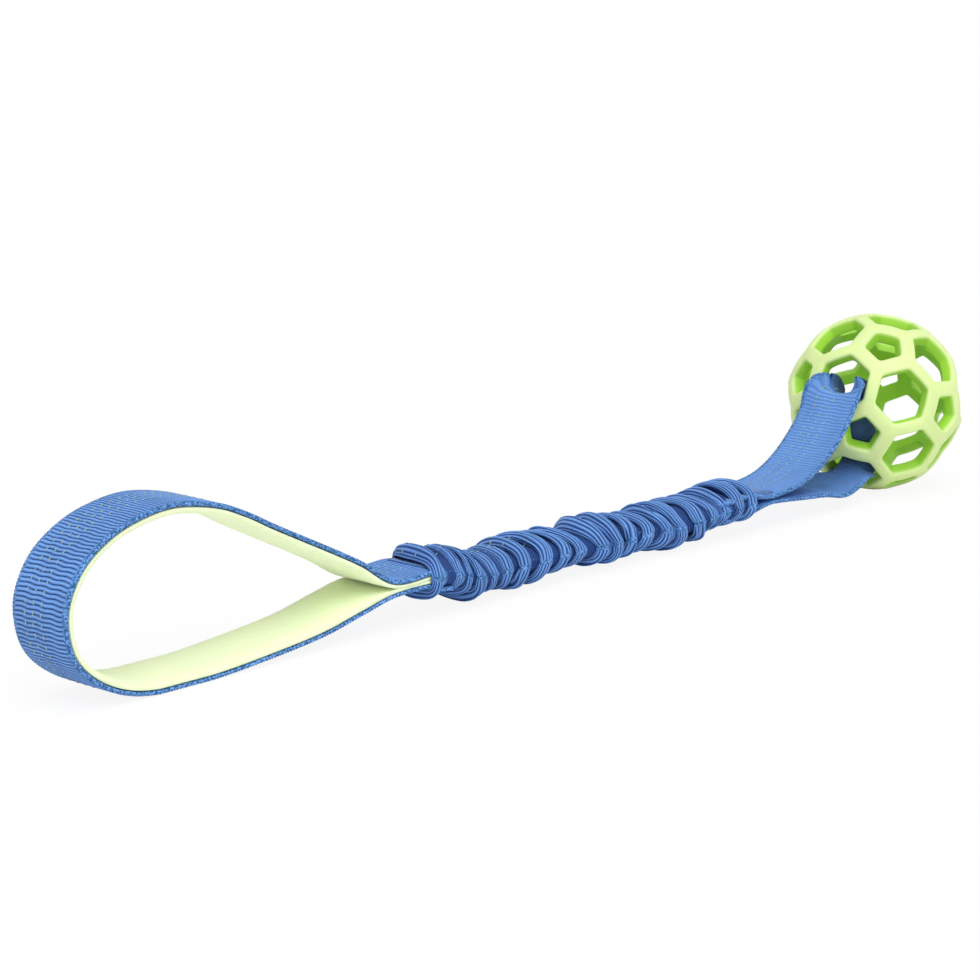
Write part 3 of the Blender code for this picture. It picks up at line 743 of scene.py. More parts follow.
def lattice(sizes):
    """Points and faces of the ball: walled openings, with struts and junctions between them."""
    corners, faces = football()
    rings = [opening_rings(corners[face], sizes) for face in faces]
    starts = np.cumsum([0] + [ring.shape[0] * ring.shape[1] for ring in rings])
    points = [ring.reshape(-1, 3) for ring in rings]
    polygons = []
    for ring, start in zip(rings, starts):
        index = start + np.arange(ring.shape[0] * ring.shape[1]).reshape(ring.shape[:2])
        polygons += quads_round(index[:-1], index[1:]).tolist()
    for level, radius in ((0, BALL_RADIUS), (-1, BALL_RADIUS - BALL_WALL)):
        total = sum(len(group) for group in points)
        added, skin = ball_skin(corners, faces, rings, starts, level, radius, total)
        points += added
        polygons += skin
    return np.concatenate(points), polygons


def thread_tubes(name, place, along, across, lift, radius, sides, flatness=1.0):
    """Closed tubes of thread on a surface, one for each row of places on it."""
    lines = place(along, across, lift)
    normals = unit(place(along, across, lift + radius) - lines)
    beside = unit(np.cross(unit(np.gradient(lines, axis=1)), normals))
    turn = np.linspace(0.0, math.tau, sides, endpoint=False)
    ring = (np.cos(turn)[:, None] * beside[:, :, None, :]
            + flatness * np.sin(turn)[:, None] * normals[:, :, None, :])
    grid = lines[:, :, None, :] + radius * ring
    tubes, points = grid.shape[:2]
    index = np.arange(points * sides).reshape(points, sides)
    one = quads_round(index[:-1], index[1:])
    faces = []
    for start in range(0, tubes * points * sides, points * sides):
        faces += (one + start).tolist()
        faces += [(index[0][::-1] + start).tolist(), (index[-1] + start).tolist()]
    return mesh_object(name, grid.reshape(-1, 3), faces)


def tracer_yarns(name, place, width, top, tracer, along_range):
    """Short raised floats of tracer yarn, in rows along the webbing's outer face."""
    low, high = along_range
    starts = np.arange(low, high - tracer.length, tracer.pitch)
    rows = (np.array(TRACER_ROW_SHARES) - 0.5) * width
    start, across = [a.ravel() for a in np.meshgrid(starts, rows, indexing="ij")]
    share = np.linspace(0.0, 1.0, 5)
    along = start[:, None] + tracer.length * share[None, :]
    dip = top - tracer.thickness * TRACER_DIP_SHARE * (2 * share - 1)[None, :] ** 4
    return thread_tubes(name, place, along, across[:, None], dip, tracer.width / 2, 6,
                        2 * tracer.thickness / tracer.width)


def bar_tack(name, strip, along):
    """A bar tack: one thread that zigzags across the webbing."""
    share = np.linspace(0.0, 1.0, TACK_STITCHES * POINTS_PER_STITCH + 1)[None]
    swing = np.abs((share * TACK_STITCHES) % 2 - 1) * 2 - 1
    lift = WEBBING_THICKNESS / 2 + THREAD_RADIUS / 2
    return thread_tubes(name, strip.place, along + share * TACK_LENGTH, swing * TACK_WIDTH / 2,
                        lift, THREAD_RADIUS, 8)


# Materials

# How many grains of each finish lie along a metre, and the scale of the wave that draws a
# thread's strands, 0.7 mm apart. Real fibres, nap and grit are finer than a render shows
DYE_PATCHES, WEBBING_FIBRES, BRAID_STITCHES = 90.0, 2600.0, 1300.0
NAP_CLUMPS, NAP_FIBRES = 260.0, 1800.0
BLOOM_CLOUDS, MOULD_GRIT = 70.0, 1500.0
STRAND_SCALE = 900.0

# Socket numbers of the Map Range node, and of the Mix node when it mixes colours
VALUE, FROM_LOW, FROM_HIGH, TO_LOW, TO_HIGH = range(5)
SHARE, FIRST, SECOND, MIXED = 0, 6, 7, 2


def feed(node, inputs):
    """Sets a node's inputs. Each is a value, or an output to link."""
    for name, value in inputs.items():
        socket = node.inputs[name]
        if isinstance(value, bpy.types.NodeSocket):
            node.id_data.links.new(value, socket)
        elif socket.type == "RGBA":
            socket.default_value = (*value, 1.0)
        else:
            socket.default_value = value


def add_node(tree, kind, inputs=None, output=0, **settings):
    """Adds a node with its settings and inputs, and gives back one of its outputs."""
    node = tree.nodes.new(kind)
    for name, value in settings.items():
        setattr(node, name, value)
    feed(node, inputs or {})
    return node.outputs[output]


def new_material(name):
    """A new material, its node tree and its shader."""
    material = bpy.data.materials.new(name)
    material.use_nodes = True
    return material, material.node_tree, material.node_tree.nodes["Principled BSDF"]


def woven_polyester_webbing(name, ridge_and_highlight, groove_and_shade, edge, yarn_pitch):
    """Polyester webbing, woven with ribs: bright floats on each rib, deep colour in the
    grooves, fine warp yarns that cross the ribs, and a denser, speckled selvage. The crests'
    brightness is partly the yarn's and partly painted highlight, and the grooves' deep colour
    partly the yarn's and partly painted shade. Where the weave's height is below zero the
    webbing is darker with painted shade."""
    material, tree, shader = new_material(name)
    weave = add_node(tree, "ShaderNodeAttribute", output="Vector", attribute_name="weave")
    _, across, height = add_node(tree, "ShaderNodeSeparateXYZ", {0: weave}).node.outputs
    selvage = add_node(tree, "ShaderNodeAttribute", output="Fac", attribute_name="selvage")
    turn = add_node(tree, "ShaderNodeMath", {0: across, 1: math.tau / yarn_pitch},
                    operation="MULTIPLY")
    sine = add_node(tree, "ShaderNodeMath", {0: turn}, operation="SINE")
    yarns = add_node(tree, "ShaderNodeMapRange", {VALUE: sine, FROM_LOW: -1.0, FROM_HIGH: 1.0})
    place = add_node(tree, "ShaderNodeTexCoord", output="Object")
    patches, fibres, stitches = [
        add_node(tree, "ShaderNodeTexNoise",
                 {"Vector": place, "Scale": scale, "Detail": detail, "Roughness": rough})
        for scale, detail, rough in (
            (DYE_PATCHES, 3.0, 0.6), (WEBBING_FIBRES, 2.0, 0.7), (BRAID_STITCHES, 1.0, 0.5))
    ]
    # Groove to crest colour: partly the yarn's tone, partly painted shade and painted highlight
    depth = add_node(tree, "ShaderNodeMapRange", {VALUE: height, FROM_LOW: 0.25, FROM_HIGH: 0.92})
    speckle = add_node(tree, "ShaderNodeMapRange",
                       {VALUE: stitches, FROM_LOW: 0.42, FROM_HIGH: 0.60})
    ribbed = add_node(tree, "ShaderNodeMix", {SHARE: depth, FIRST: groove_and_shade, SECOND: ridge_and_highlight},
                      MIXED, data_type="RGBA")
    braided = add_node(tree, "ShaderNodeMix", {SHARE: speckle, FIRST: edge, SECOND: ridge_and_highlight},
                       MIXED, data_type="RGBA")
    toned = add_node(tree, "ShaderNodeMix", {SHARE: selvage, FIRST: ribbed, SECOND: braided},
                     MIXED, data_type="RGBA")
    # The last range is painted shade: a weave height below zero darkens the colour to 0.36
    for changing, low, high, darkest, brightest in (
            (yarns, 0.0, 1.0, 0.84, 1.08), (patches, 0.3, 0.7, 0.90, 1.10),
            (height, -1.0, 0.0, 0.36, 1.0)):
        cast = add_node(tree, "ShaderNodeMapRange",
                        {VALUE: changing, FROM_LOW: low, FROM_HIGH: high, TO_LOW: darkest,
                         TO_HIGH: brightest})
        toned = add_node(tree, "ShaderNodeMix", {SHARE: 1.0, FIRST: toned, SECOND: cast},
                         MIXED, data_type="RGBA", blend_type="MULTIPLY")
    relief = add_node(tree, "ShaderNodeMath", {0: yarns, 1: fibres}, operation="ADD")
    normal = add_node(tree, "ShaderNodeBump",
                      {"Height": relief, "Strength": 0.45, "Distance": 0.00012})
    feed(shader, {"Base Color": toned, "Normal": normal, "Roughness": 0.65,
                  "Specular IOR Level": 0.25, "Sheen Weight": 0.05, "Sheen Roughness": 0.4})
    return material


def brushed_fleece(colour, shade):
    """Polyester fleece, brushed: a soft pale nap with no shine and a light bloom at its edges."""
    material, tree, shader = new_material("brushed_fleece")
    place = add_node(tree, "ShaderNodeTexCoord", output="Object")
    clumps = add_node(tree, "ShaderNodeTexNoise",
                      {"Vector": place, "Scale": NAP_CLUMPS, "Detail": 4.0, "Roughness": 0.65})
    nap = add_node(tree, "ShaderNodeTexNoise",
                   {"Vector": place, "Scale": NAP_FIBRES, "Detail": 3.0, "Roughness": 0.7})
    toned = add_node(tree, "ShaderNodeMix", {SHARE: clumps, FIRST: shade, SECOND: colour},
                     MIXED, data_type="RGBA")
    relief = add_node(tree, "ShaderNodeMath", {0: clumps, 1: nap}, operation="ADD")
    normal = add_node(tree, "ShaderNodeBump",
                      {"Height": relief, "Strength": 0.5, "Distance": 0.0003})
    feed(shader, {"Base Color": toned, "Normal": normal, "Roughness": 0.95,
                  "Specular IOR Level": 0.2, "Sheen Weight": 0.45, "Sheen Roughness": 0.6,
                  "Subsurface Weight": 0.12, "Subsurface Scale": 0.004})
    return material


def moulded_natural_rubber(bloomed_and_lit, fresh_and_shaded, skin_depth):
    """Natural rubber, moulded and vulcanised: satin and a little waxy. Its outer skin is a
    paler green, partly bloom and partly painted light, while the walls of the openings and
    the inside are a deeper green, partly painted shade."""
    material, tree, shader = new_material("moulded_natural_rubber")
    place = add_node(tree, "ShaderNodeTexCoord", output="Object")
    from_centre = add_node(tree, "ShaderNodeVectorMath", {0: place}, "Value", operation="LENGTH")
    # Painted light and shade by depth: paler on the outer skin, deeper within the openings
    skin = add_node(tree, "ShaderNodeMapRange",
                    {VALUE: from_centre, FROM_LOW: BALL_RADIUS - skin_depth,
                     FROM_HIGH: BALL_RADIUS - skin_depth / 8}, interpolation_type="SMOOTHSTEP")
    clouds = add_node(tree, "ShaderNodeTexNoise",
                      {"Vector": place, "Scale": BLOOM_CLOUDS, "Detail": 4.0, "Roughness": 0.55})
    grain = add_node(tree, "ShaderNodeTexNoise",
                     {"Vector": place, "Scale": MOULD_GRIT, "Detail": 2.0, "Roughness": 0.6})
    cast, gloss = [
        add_node(tree, "ShaderNodeMapRange",
                 {VALUE: clouds, FROM_LOW: 0.3, FROM_HIGH: 0.7, TO_LOW: low, TO_HIGH: high})
        for low, high in ((0.94, 1.03), (0.42, 0.56))
    ]
    toned = add_node(tree, "ShaderNodeMix", {SHARE: skin, FIRST: fresh_and_shaded, SECOND: bloomed_and_lit},
                     MIXED, data_type="RGBA")
    toned = add_node(tree, "ShaderNodeMix", {SHARE: 1.0, FIRST: toned, SECOND: cast},
                     MIXED, data_type="RGBA", blend_type="MULTIPLY")
    normal = add_node(tree, "ShaderNodeBump",
                      {"Height": grain, "Strength": 0.15, "Distance": 0.0001})
    feed(shader, {"Base Color": toned, "Roughness": gloss, "Normal": normal, "IOR": 1.52,
                  "Specular IOR Level": 0.4, "Subsurface Weight": 0.10,
                  "Subsurface Scale": 0.002, "Subsurface Radius": (0.6, 1.0, 0.2)})
    return material


def twisted_thread(name, colour, shade, roughness):
    """Polyester thread, twisted: fine slanting strands with a soft sheen."""
    material, tree, shader = new_material(name)
    place = add_node(tree, "ShaderNodeTexCoord", output="Object")
    strands = add_node(tree, "ShaderNodeTexWave",
                       {"Vector": place, "Scale": STRAND_SCALE, "Distortion": 1.5,
                        "Detail": 1.0}, "Fac", bands_direction="DIAGONAL")
    toned = add_node(tree, "ShaderNodeMix", {SHARE: strands, FIRST: shade, SECOND: colour},
                     MIXED, data_type="RGBA")
    normal = add_node(tree, "ShaderNodeBump",
                      {"Height": strands, "Strength": 0.4, "Distance": 0.00008})
    feed(shader, {"Base Color": toned, "Normal": normal, "Roughness": roughness,
                  "Specular IOR Level": 0.5, "Sheen Weight": 0.2})
    return material


def matt_studio_paper(colour, clearness):
    """Seamless studio paper: matt white. It shows the camera mostly its own white, so that
    the toy's shadow stays soft."""
    material, tree, shader = new_material("matt_studio_paper")
    tree.nodes.remove(shader)
    paper = add_node(tree, "ShaderNodeBsdfDiffuse", {"Color": colour})
    white = add_node(tree, "ShaderNodeEmission", {"Color": (1.0, 1.0, 1.0), "Strength": 1.0})
    camera_ray = add_node(tree, "ShaderNodeLightPath", output="Is Camera Ray")
    seen = add_node(tree, "ShaderNodeMath", {0: camera_ray, 1: clearness}, operation="MULTIPLY")
    mixed = add_node(tree, "ShaderNodeMixShader", {0: seen, 1: paper, 2: white})
    feed(tree.nodes["Material Output"], {"Surface": mixed})
    return material


def studio_world(strength):
    """White to the camera and in reflections, and a plain soft light on everything else."""
    world = bpy.data.worlds.new("studio")
    world.use_nodes = True
    tree = world.node_tree
    rays = add_node(tree, "ShaderNodeLightPath").node.outputs
    seen = rays["Is Camera Ray"]
    for ray in ("Is Glossy Ray", "Is Transmission Ray"):
        seen = add_node(tree, "ShaderNodeMath", {0: seen, 1: rays[ray]}, operation="MAXIMUM")
    level = add_node(tree, "ShaderNodeMapRange", {VALUE: seen, TO_LOW: strength, TO_HIGH: 1.0})
    feed(tree.nodes["Background"], {"Color": (1.0, 1.0, 1.0), "Strength": level})
    bpy.context.scene.world = world


# Settings that a user would change

def number(name, description, default, **kind):
    return FloatProperty(name=name, description=description, default=default, **kind)


def length(name, description, default):
    return number(name, description, default, unit="LENGTH", precision=5)


def factor(name, description, default, low=0.0, high=1.0):
    return number(name, description, default, subtype="FACTOR", min=low, max=high)


def colour(name, description, hex_colour):
    return FloatVectorProperty(name=name, description=description, subtype="COLOR",
                               default=linear(hex_colour))


class TUG_PG_webbing(bpy.types.PropertyGroup):
    rib_pitch: length("Rib pitch", "Distance from rib to rib along the webbing", 0.00143)
    rib_depth: length("Rib depth", "How deep the grooves between the ribs are", 0.00032)
    selvage: length("Selvage", "Width of the braided edge", 0.0021)
    yarn_pitch: length("Yarn pitch", "Distance between the fine warp yarns", 0.00055)
    steps_per_rib: IntProperty(
        name="Steps per rib", description="Rows of points along each rib", default=5, min=3)


class TUG_PG_tracer(bpy.types.PropertyGroup):
    pitch: length("Pitch", "Distance from float to float along the webbing", 0.0033)
    length: length("Length", "Length of one float", 0.0014)
    width: length("Width", "Width of the tracer yarn", 0.00042)
    thickness: length("Thickness", "How far the yarn stands up", 0.00016)


class TUG_PG_sleeve(bpy.types.PropertyGroup):
    folds: IntProperty(name="Folds", description="Folds along the sleeve", default=23, min=5)
    swing_low: number(
        "Least swing", "Slope of the shallowest fold's flanks", 1.42, subtype="ANGLE")
    swing_high: number(
        "Most swing", "Slope of the deepest fold's flanks", 1.82, subtype="ANGLE")
    crest_width: factor(
        "Crest width", "How much wider the crests are than the hollows", 0.30, -0.8, 0.8)
    slump: length("Slump", "How far the folds wander along the sleeve", 0.0027)
    lean: length("Lean", "How far the crests lean over the hollows", 0.0008)
    unevenness: length("Unevenness", "How unlike the crests' heights are", 0.0034)
    creases: length("Creases", "Depth of the small creases between the folds", 0.0009)
    kink: length("Kink", "How far the selvage is drawn along at the folds", 0.0010)
    cloth: length("Cloth", "Thickness of the woven tube", 0.0006)
    # Painted shade: how much darker the blue is in the sleeve's hollows
    hollow_shade: factor("Hollow dye", "How much deeper the blue is in the unfaded hollows", 0.65)
    tracer_reach: factor(
        "Tracer reach", "Share of the cloth, from the hand loop, whose tracers still show", 0.34)
    seed: IntProperty(name="Seed", description="Picks another set of folds", default=11)


class TUG_PG_ball(bpy.types.PropertyGroup):
    strut_width: length("Strut width", "Width of the struts between the openings", 0.0053)
    edge_round: length("Edge rounding", "Radius of the moulded edges", 0.0012)
    pentagon_rim: length(
        "Pentagon rim", "How much further the rims of the pentagons reach in", 0.0010)
    draft: length("Draft", "How much the pentagons narrow towards the inside", 0.0010)
    corner_round: length("Corner rounding", "Radius of the openings' corners", 0.0020)
    # Partly bloom, partly painted light and shade: the depth over which the green changes
    skin_depth: length("Skin depth", "How deep the paler bloom of the skin reaches", 0.0020)


class TUG_PG_colours(bpy.types.PropertyGroup):
    # The crests' blue is partly painted highlight, the grooves' blue partly painted shade
    ridge_and_highlight: colour("Rib crests", "Blue of the webbing's ribs", "#73A5EA")
    groove_and_shade: colour("Grooves", "Blue between the ribs", "#173A78")
    selvage: colour("Selvage", "Teal between the selvage's bright stitches", "#285C90")
    fleece: colour("Fleece", "Pale lime of the padding", "#F6FFDC")
    fleece_shade: colour("Fleece base", "Lime at the foot of the nap", "#EAFABC")
    # Pale skin: partly bloom, partly painted light. Deeper inside: partly painted shade
    rubber: colour("Rubber", "Pale lime green of the ball's bloomed skin", "#D8ECA0")
    rubber_inside_and_shade: colour("Rubber inside", "Deeper green of the walls and the inside", "#9ED63E")
    tracer: colour("Tracer yarn", "Grey green of the tracer yarn", "#9DB6A8")
    elastic: colour("Elastic", "Off white of the hidden elastic", "#EBEAE2")
    paper: colour("Studio paper", "White of the floor", "#FAFAFA")


class TUG_PG_stage(bpy.types.PropertyGroup):
    floor_size: number("Floor size", "Width of the studio paper", 24.0, unit="LENGTH")
    key_strength: number("Key light", "Strength of the soft light overhead", 1.95)
    fill_strength: number("Fill light", "Strength of the soft light beside the camera", 0.50)
    ambient: number("Ambient", "Strength of the even light all round", 0.46)
    clearness: factor("Clearness", "How far the paper hides the shadow from the camera", 0.9)


class TUG_PG_toy(bpy.types.PropertyGroup):
    webbing: PointerProperty(type=TUG_PG_webbing)
    tracer: PointerProperty(type=TUG_PG_tracer)
    sleeve: PointerProperty(type=TUG_PG_sleeve)
    ball: PointerProperty(type=TUG_PG_ball)
    colours: PointerProperty(type=TUG_PG_colours)
    stage: PointerProperty(type=TUG_PG_stage)


# Operators

def finish_piece(obj, material, slot, *nodes):
    """Gives a piece its material, and hides the solids it stands for. Its slot is not used."""
    obj.data.materials.append(material)
    if nodes:
        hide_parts(*nodes)


def webbing_material(toy, worn=0.0):
    """The blue webbing. Where it is worn by the ball, its grooves are fuller and paler."""
    name = "worn_polyester_webbing" if worn else "woven_polyester_webbing"
    groove_and_shade = [g + (r - g) * worn for r, g in zip(toy.colours.ridge_and_highlight, toy.colours.groove_and_shade)]
    return bpy.data.materials.get(name) or woven_polyester_webbing(
        name, [c * (1 - worn / 4) for c in toy.colours.ridge_and_highlight], groove_and_shade, toy.colours.selvage,
        toy.webbing.yarn_pitch)


def tracer_material(toy):
    return bpy.data.materials.get("tracer_yarn") or twisted_thread(
        "tracer_yarn", toy.colours.tracer, [c * 0.7 for c in toy.colours.tracer], 0.4)


def thread_material(toy):
    return bpy.data.materials.get("sewing_thread") or twisted_thread(
        "sewing_thread", toy.colours.ridge_and_highlight, toy.colours.groove_and_shade, 0.5)


class TUG_OT_stage(bpy.types.Operator):
    """Lays the floor, hangs the soft lights and sets up the camera"""
    bl_idname = "tug_toy.stage"
    bl_label = "Stage"

    def execute(self, context):
        toy = context.scene.tug_toy
        self.lay_floor(toy)
        studio_world(toy.stage.ambient)
        self.hang_light("key_light", (-0.30, -0.45, 1.0), 50.0, toy.stage.key_strength)
        self.hang_light("fill_light", (-0.8, -0.9, 0.5), 70.0, toy.stage.fill_strength)
        self.set_camera(context)
        context.scene.view_settings.view_transform = "Standard"
        return {"FINISHED"}

    @staticmethod
    def lay_floor(toy):
        mesh = bpy.data.meshes.new("studio_floor")
        bm = bmesh.new()
        bmesh.ops.create_grid(bm, x_segments=8, y_segments=8, size=toy.stage.floor_size / 2)
        bm.to_mesh(mesh)
        bm.free()
        floor = new_object("studio_floor", mesh)
        mesh.materials.append(matt_studio_paper(toy.colours.paper, toy.stage.clearness))

    @staticmethod
    def hang_light(name, place, breadth, strength):
        """A soft light, as far off and as broad as a large diffuser, given in degrees."""
        lamp = bpy.data.lights.new(name, "SUN")
        lamp.angle = math.radians(breadth)
        lamp.energy = strength
        light = new_object(name, lamp)
        light.location = place
        light.rotation_mode = "QUATERNION"
        light.rotation_quaternion = Vector(place).to_track_quat("Z", "Y")

    @staticmethod
    def set_camera(context):
        lens = bpy.data.cameras.new("camera")
        lens.lens = CAMERA_LENS
        lens.sensor_width = CAMERA_SENSOR
        lens.clip_start, lens.clip_end = 0.05, 20.0
        lens.dof.use_dof = False
        camera = new_object("camera", lens)
        turn, rise = math.radians(CAMERA_AZIMUTH), math.radians(CAMERA_ELEVATION)
        forward = Vector((math.sin(turn) * math.cos(rise), math.cos(turn) * math.cos(rise),
                          -math.sin(rise)))
        camera.location = BALL_CENTRE + CAMERA_FROM_BALL
        camera.rotation_mode = "QUATERNION"
        camera.rotation_quaternion = forward.to_track_quat("-Z", "Y")
        context.scene.camera = camera


class TUG_OT_handle(bpy.types.Operator):
    """Makes the hand loop's webbing, its tracer yarns, its padding and its hidden bar tack"""
    bl_idname = "tug_toy.handle"
    bl_label = "Hand loop"

    def execute(self, context):
        toy = context.scene.tug_toy
        path = smooth_path(handle_knots(), HANDLE_STEPS)
        path[:, 2] = np.maximum(path[:, 2], WEBBING_THICKNESS / 2)
        strip = Strip(path, WEBBING_WIDTH)
        band = woven_strip("hand_loop_webbing", strip, WEBBING_THICKNESS, toy.webbing)
        finish_piece(band, webbing_material(toy), "webbing_blue", "handle_webbing")

        outside = np.nonzero(path[:, 0] < MOUTH_X + PINCH_REACH)[0]
        shown = (strip.along[outside[0]], strip.along[outside[-1]])
        yarns = tracer_yarns("hand_loop_tracers", strip.place, WEBBING_WIDTH,
                             WEBBING_THICKNESS / 2, toy.tracer, shown)
        finish_piece(yarns, tracer_material(toy), "webbing_blue")

        lining = self.padding(strip, path)
        material = brushed_fleece(toy.colours.fleece, toy.colours.fleece_shade)
        finish_piece(lining, material, "lining_lime", "handle_lining")

        tack_start = strip.length - TACK_LENGTH * HANDLE_TACK_SHARE
        tack = bar_tack("hand_loop_bar_tack", strip, tack_start)
        finish_piece(tack, thread_material(toy), "thread_blue", "handle_bar_tack")
        for piece in (band, yarns, lining, tack):
            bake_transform(piece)
        return {"FINISHED"}

    @staticmethod
    def padding(strip, path):
        """Soft padding on the loop's inner side: full in the loop, pinched flat at the sleeve."""
        inside = np.nonzero(path[:, 0] < MOUTH_X + LINING_REACH)[0]
        low, high = strip.along[inside[0]], strip.along[inside[-1]]
        along = np.linspace(low, high, LINING_ROWS)[:, None]
        from_end = np.minimum(along - low, high - along)
        full = smoothstep((from_end - NECK_RUN) / LINING_TAPER)
        thickness = LINING_PINCHED + (LINING_THICKNESS - LINING_PINCHED) * full
        spread = np.sin(np.linspace(-math.pi / 2, math.pi / 2, LINING_COLUMNS))
        across = np.concatenate([spread, spread[::-1]])[None, :] * LINING_WIDTH / 2
        inner = np.repeat([0.0, 1.0], LINING_COLUMNS)[None, :]
        from_middle = np.abs(2 * across / LINING_WIDTH)
        hollow = 1.0 - (1.0 - from_middle ** LINING_SQUARENESS) ** LINING_ROUNDING
        lumps = LUMP_HEIGHT
        for turn_along, turn_across in LUMP_TURNS:
            lumps = lumps * np.sin(along * turn_along + across * turn_across)
        body = thickness * (1.0 - LINING_CROWN_SHARE * full * hollow) + lumps * full
        shallow = thickness * LINING_TUCK_SHARE * hollow
        lift = -(WEBBING_THICKNESS / 2 + LINING_SEAT + np.where(inner > 0, body, shallow))
        grid = strip.place(along, across, lift)
        pattern = np.stack(np.broadcast_arrays(along, across, inner), -1)
        return grid_object("hand_loop_padding", grid, pattern)


class TUG_OT_sleeve(bpy.types.Operator):
    """Makes the gathered sleeve and its tracer yarns"""
    bl_idname = "tug_toy.sleeve"
    bl_label = "Gathered sleeve"

    def execute(self, context):
        toy = context.scene.tug_toy
        tube = GatheredTube(toy.sleeve)
        sleeve = self.cloth(tube, toy)
        finish_piece(sleeve, webbing_material(toy), "sleeve_blue", "sleeve")
        yarns = tracer_yarns("sleeve_tracers", tube.place_on_top, tube.perimeter / 2, 0.0,
                             toy.tracer, (FIRST_TRACER, tube.length * toy.sleeve.tracer_reach))
        finish_piece(yarns, tracer_material(toy), "sleeve_blue")
        for piece in (sleeve, yarns):
            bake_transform(piece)
        area, width = self.cloth_area(tube), tube.perimeter
        return {"FINISHED"}

    def cloth(self, tube, toy):
        """The cloth, ribbed outside and plain inside, with painted shade in its hollows."""
        weave = toy.webbing
        rows = int(tube.length / weave.rib_pitch * TUBE_ROWS_PER_RIB)
        along = np.linspace(0.0, tube.length, rows + 1)[:, None]
        around = self.columns(tube, weave.selvage)[None, :]
        beyond = tube.from_selvage(around)
        edge = 1.0 - smoothstep((beyond - weave.selvage * TUBE_SELVAGE_SHARE) / TUBE_SELVAGE_BLEND)
        beads = selvage_beads(along, around.shape[1], weave.rib_pitch)
        uneven = TUBE_RIB_WANDER * np.sin(around * TUBE_RIB_TURN)
        ribs = rib_profile(along + uneven, weave.rib_pitch, TUBE_RIB_SHARPNESS)
        height = ribs * (1 - edge) + beads * edge
        outer = tube.place(along, around, weave.rib_depth * TUBE_RELIEF * (height - 1.0))
        inner = tube.place(along[::-INSIDE_STRIDE], around, -toy.sleeve.cloth)
        # Painted shade in the hollows: the weave's height and the selvage share drop where it sinks
        sink = np.interp(along, tube.cloth, tube.sink)
        hollow = smoothstep((sink - HOLLOW_SHADE_START) / HOLLOW_SHADE_RANGE)
        shading = height * (1.0 - toy.sleeve.hollow_shade * hollow)
        pattern = np.stack(np.broadcast_arrays(along, beyond, shading), -1)
        edge = edge * (1.0 - hollow)
        grid = np.concatenate([outer, inner])
        pattern = np.concatenate([pattern, pattern[::-INSIDE_STRIDE]])
        edge = np.concatenate([edge, edge[::-INSIDE_STRIDE]])
        return grid_object("gathered_sleeve", grid, pattern, edge, ring=True)

    @staticmethod
    def columns(tube, selvage):
        """Places round the tube for the mesh's columns, close together at both selvages."""
        half = tube.perimeter / 2
        close = np.linspace(0.0, selvage, CLOSE_COLUMNS)
        wide = np.linspace(selvage, half - selvage, WIDE_COLUMNS)
        face = np.concatenate([close[:-1], wide, half - close[1:-1][::-1]])
        return np.concatenate([face, face + half])

    @staticmethod
    def cloth_area(tube):
        """The area of the cloth's outer surface, without its ribs."""
        along = np.linspace(0.0, tube.length, AREA_ROWS)[:, None]
        around = np.linspace(0.0, tube.perimeter, AREA_COLUMNS)[None, :]
        grid = tube.sheet(along, around)
        down, right = grid[1:, :-1] - grid[:-1, :-1], grid[:-1, 1:] - grid[:-1, :-1]
        return float(np.linalg.norm(np.cross(down, right), axis=-1).sum())


class TUG_OT_core(bpy.types.Operator):
    """Makes the two elastic bands inside the sleeve"""
    bl_idname = "tug_toy.core"
    bl_label = "Elastic core"

    def execute(self, context):
        toy = context.scene.tug_toy
        first = MOUTH_X + TAIL_LENGTH * HANDLE_TAIL_SHARES[0]
        last = SLEEVE_END_X - TAIL_LENGTH * BALL_TAIL_SHARES[-1]
        # A copy of the elastic's white at 0.7, as painted shade in its grooves and for its selvage
        deeper = [c * 0.7 for c in toy.colours.elastic]
        material = woven_polyester_webbing(
            "covered_elastic", toy.colours.elastic, deeper, deeper, toy.webbing.yarn_pitch)
        for side, node in ((-1, "elastic_band_lower"), (1, "elastic_band_upper")):
            rise = up(side * (ELASTIC_THICKNESS + SEAT_GAP) / 2)
            knots = [axis(x) + rise for x in np.linspace(first, last, ELASTIC_KNOTS)]
            strip = Strip(smooth_path(knots, ELASTIC_STEPS), ELASTIC_WIDTH)
            band = woven_strip(node + "_woven", strip, ELASTIC_THICKNESS, toy.webbing,
                               ELASTIC_COLUMNS)
            finish_piece(band, material, "elastic_white", node)
            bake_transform(band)
        return {"FINISHED"}


class TUG_OT_strap(bpy.types.Operator):
    """Makes the strap that runs through the ball, its tracer yarns and its bar tack"""
    bl_idname = "tug_toy.strap"
    bl_label = "Ball strap"

    def execute(self, context):
        toy = context.scene.tug_toy
        path = smooth_path(strap_knots(), STRAP_STEPS)
        # Painted shade on the strap inside the ball and a little way below it
        strip = Strip(path, WEBBING_WIDTH, strap_cups(path), strap_painted_shade(path))
        band = woven_strip("ball_strap_webbing", strip, WEBBING_THICKNESS, toy.webbing)
        finish_piece(band, webbing_material(toy, STRAP_WEAR), "webbing_blue", "ball_strap")

        sleeve_end = strip.along[np.nonzero(path[:, 0] > SLEEVE_END_X)[0][0]]
        yarns = tracer_yarns("ball_strap_tracers", strip.place, WEBBING_WIDTH,
                             WEBBING_THICKNESS / 2, toy.tracer,
                             (sleeve_end, strip.length - sleeve_end))
        finish_piece(yarns, tracer_material(toy), "webbing_blue")
        for piece in (band, yarns):
            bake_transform(piece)

        tack_start = float(np.interp(FORK_X - TACK_LENGTH * FORK_TACK_SHARE,
                                     path[:OUTWARD_STEPS, 0], strip.along[:OUTWARD_STEPS]))
        tack = bar_tack("fork_bar_tack", strip, tack_start)
        finish_piece(tack, thread_material(toy), "thread_blue", "ball_bar_tack")
        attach(tack, "strap")
        return {"FINISHED"}


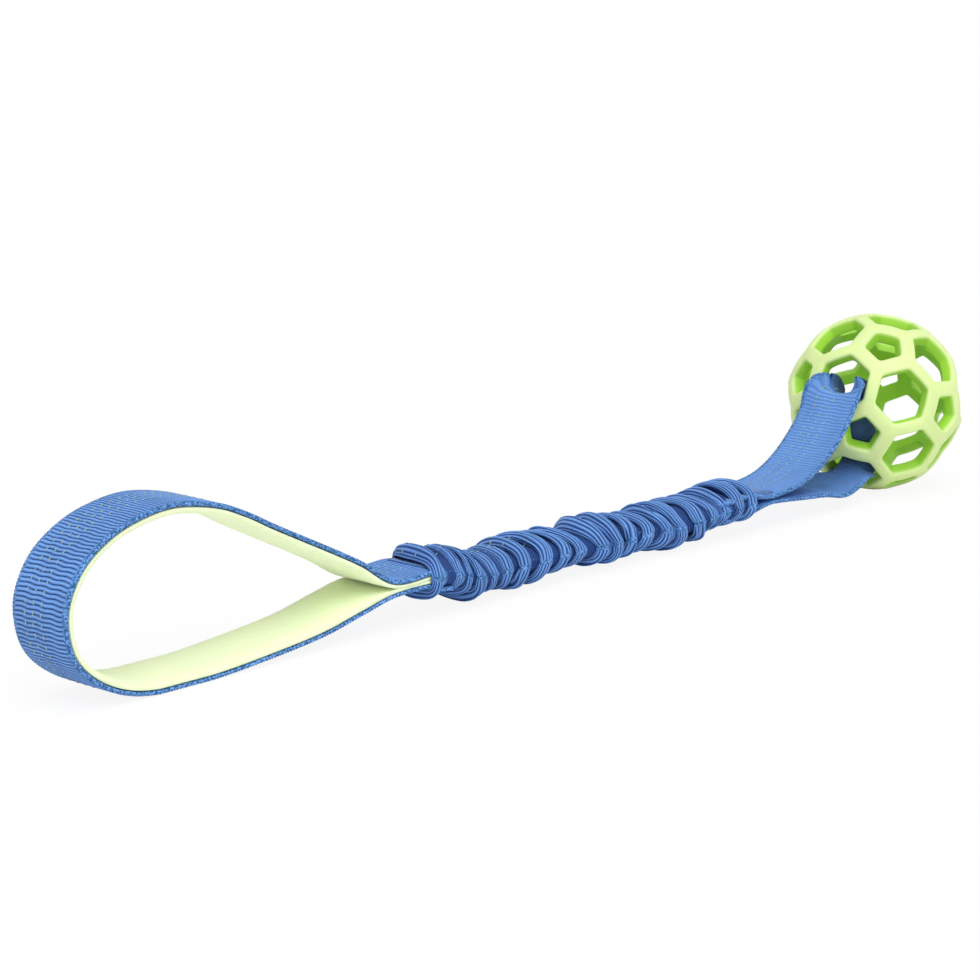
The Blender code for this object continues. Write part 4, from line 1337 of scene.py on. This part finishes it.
class TUG_OT_ball(bpy.types.Operator):
    """Makes the hollow lattice ball"""
    bl_idname = "tug_toy.ball"
    bl_label = "Lattice ball"

    def execute(self, context):
        toy = context.scene.tug_toy
        ball = mesh_object("lattice_ball", *lattice(toy.ball))
        ball.location = BALL_CENTRE
        material = moulded_natural_rubber(
            toy.colours.rubber, toy.colours.rubber_inside_and_shade, toy.ball.skin_depth)
        finish_piece(ball, material, "rubber_green", "ball")
        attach(ball, "ball")
        return {"FINISHED"}


class TUG_PT_panel(bpy.types.Panel):
    """Lists the pieces of the toy and their settings"""
    bl_idname = "TUG_PT_panel"
    bl_label = "Bungee tug toy"
    bl_space_type = "VIEW_3D"
    bl_region_type = "UI"
    bl_category = "Tug toy"

    def draw(self, context):
        toy = context.scene.tug_toy
        for operator in PIECE_OPERATORS:
            self.layout.operator(operator.bl_idname)
        for name in ("webbing", "tracer", "sleeve", "ball", "colours", "stage"):
            box = self.layout.box()
            group = getattr(toy, name)
            box.label(text=name.capitalize())
            for prop in group.bl_rna.properties:
                if prop.identifier not in ("rna_type", "name"):
                    box.prop(group, prop.identifier)


PIECE_OPERATORS = (TUG_OT_stage, TUG_OT_ball, TUG_OT_strap, TUG_OT_sleeve, TUG_OT_core,
                   TUG_OT_handle)
CLASSES = (TUG_PG_webbing, TUG_PG_tracer, TUG_PG_sleeve, TUG_PG_ball, TUG_PG_colours,
           TUG_PG_stage, TUG_PG_toy, *PIECE_OPERATORS, TUG_PT_panel)


def register():
    for cls in CLASSES:
        bpy.utils.register_class(cls)
    bpy.types.Scene.tug_toy = PointerProperty(type=TUG_PG_toy)


def unregister():
    del bpy.types.Scene.tug_toy
    for cls in reversed(CLASSES):
        bpy.utils.unregister_class(cls)


def main():
    register()
    bpy.ops.tug_toy.stage()
    bpy.ops.tug_toy.ball()
    bpy.ops.tug_toy.strap()
    bpy.ops.tug_toy.sleeve()
    bpy.ops.tug_toy.core()
    bpy.ops.tug_toy.handle()


if __name__ == "__main__":
    main()
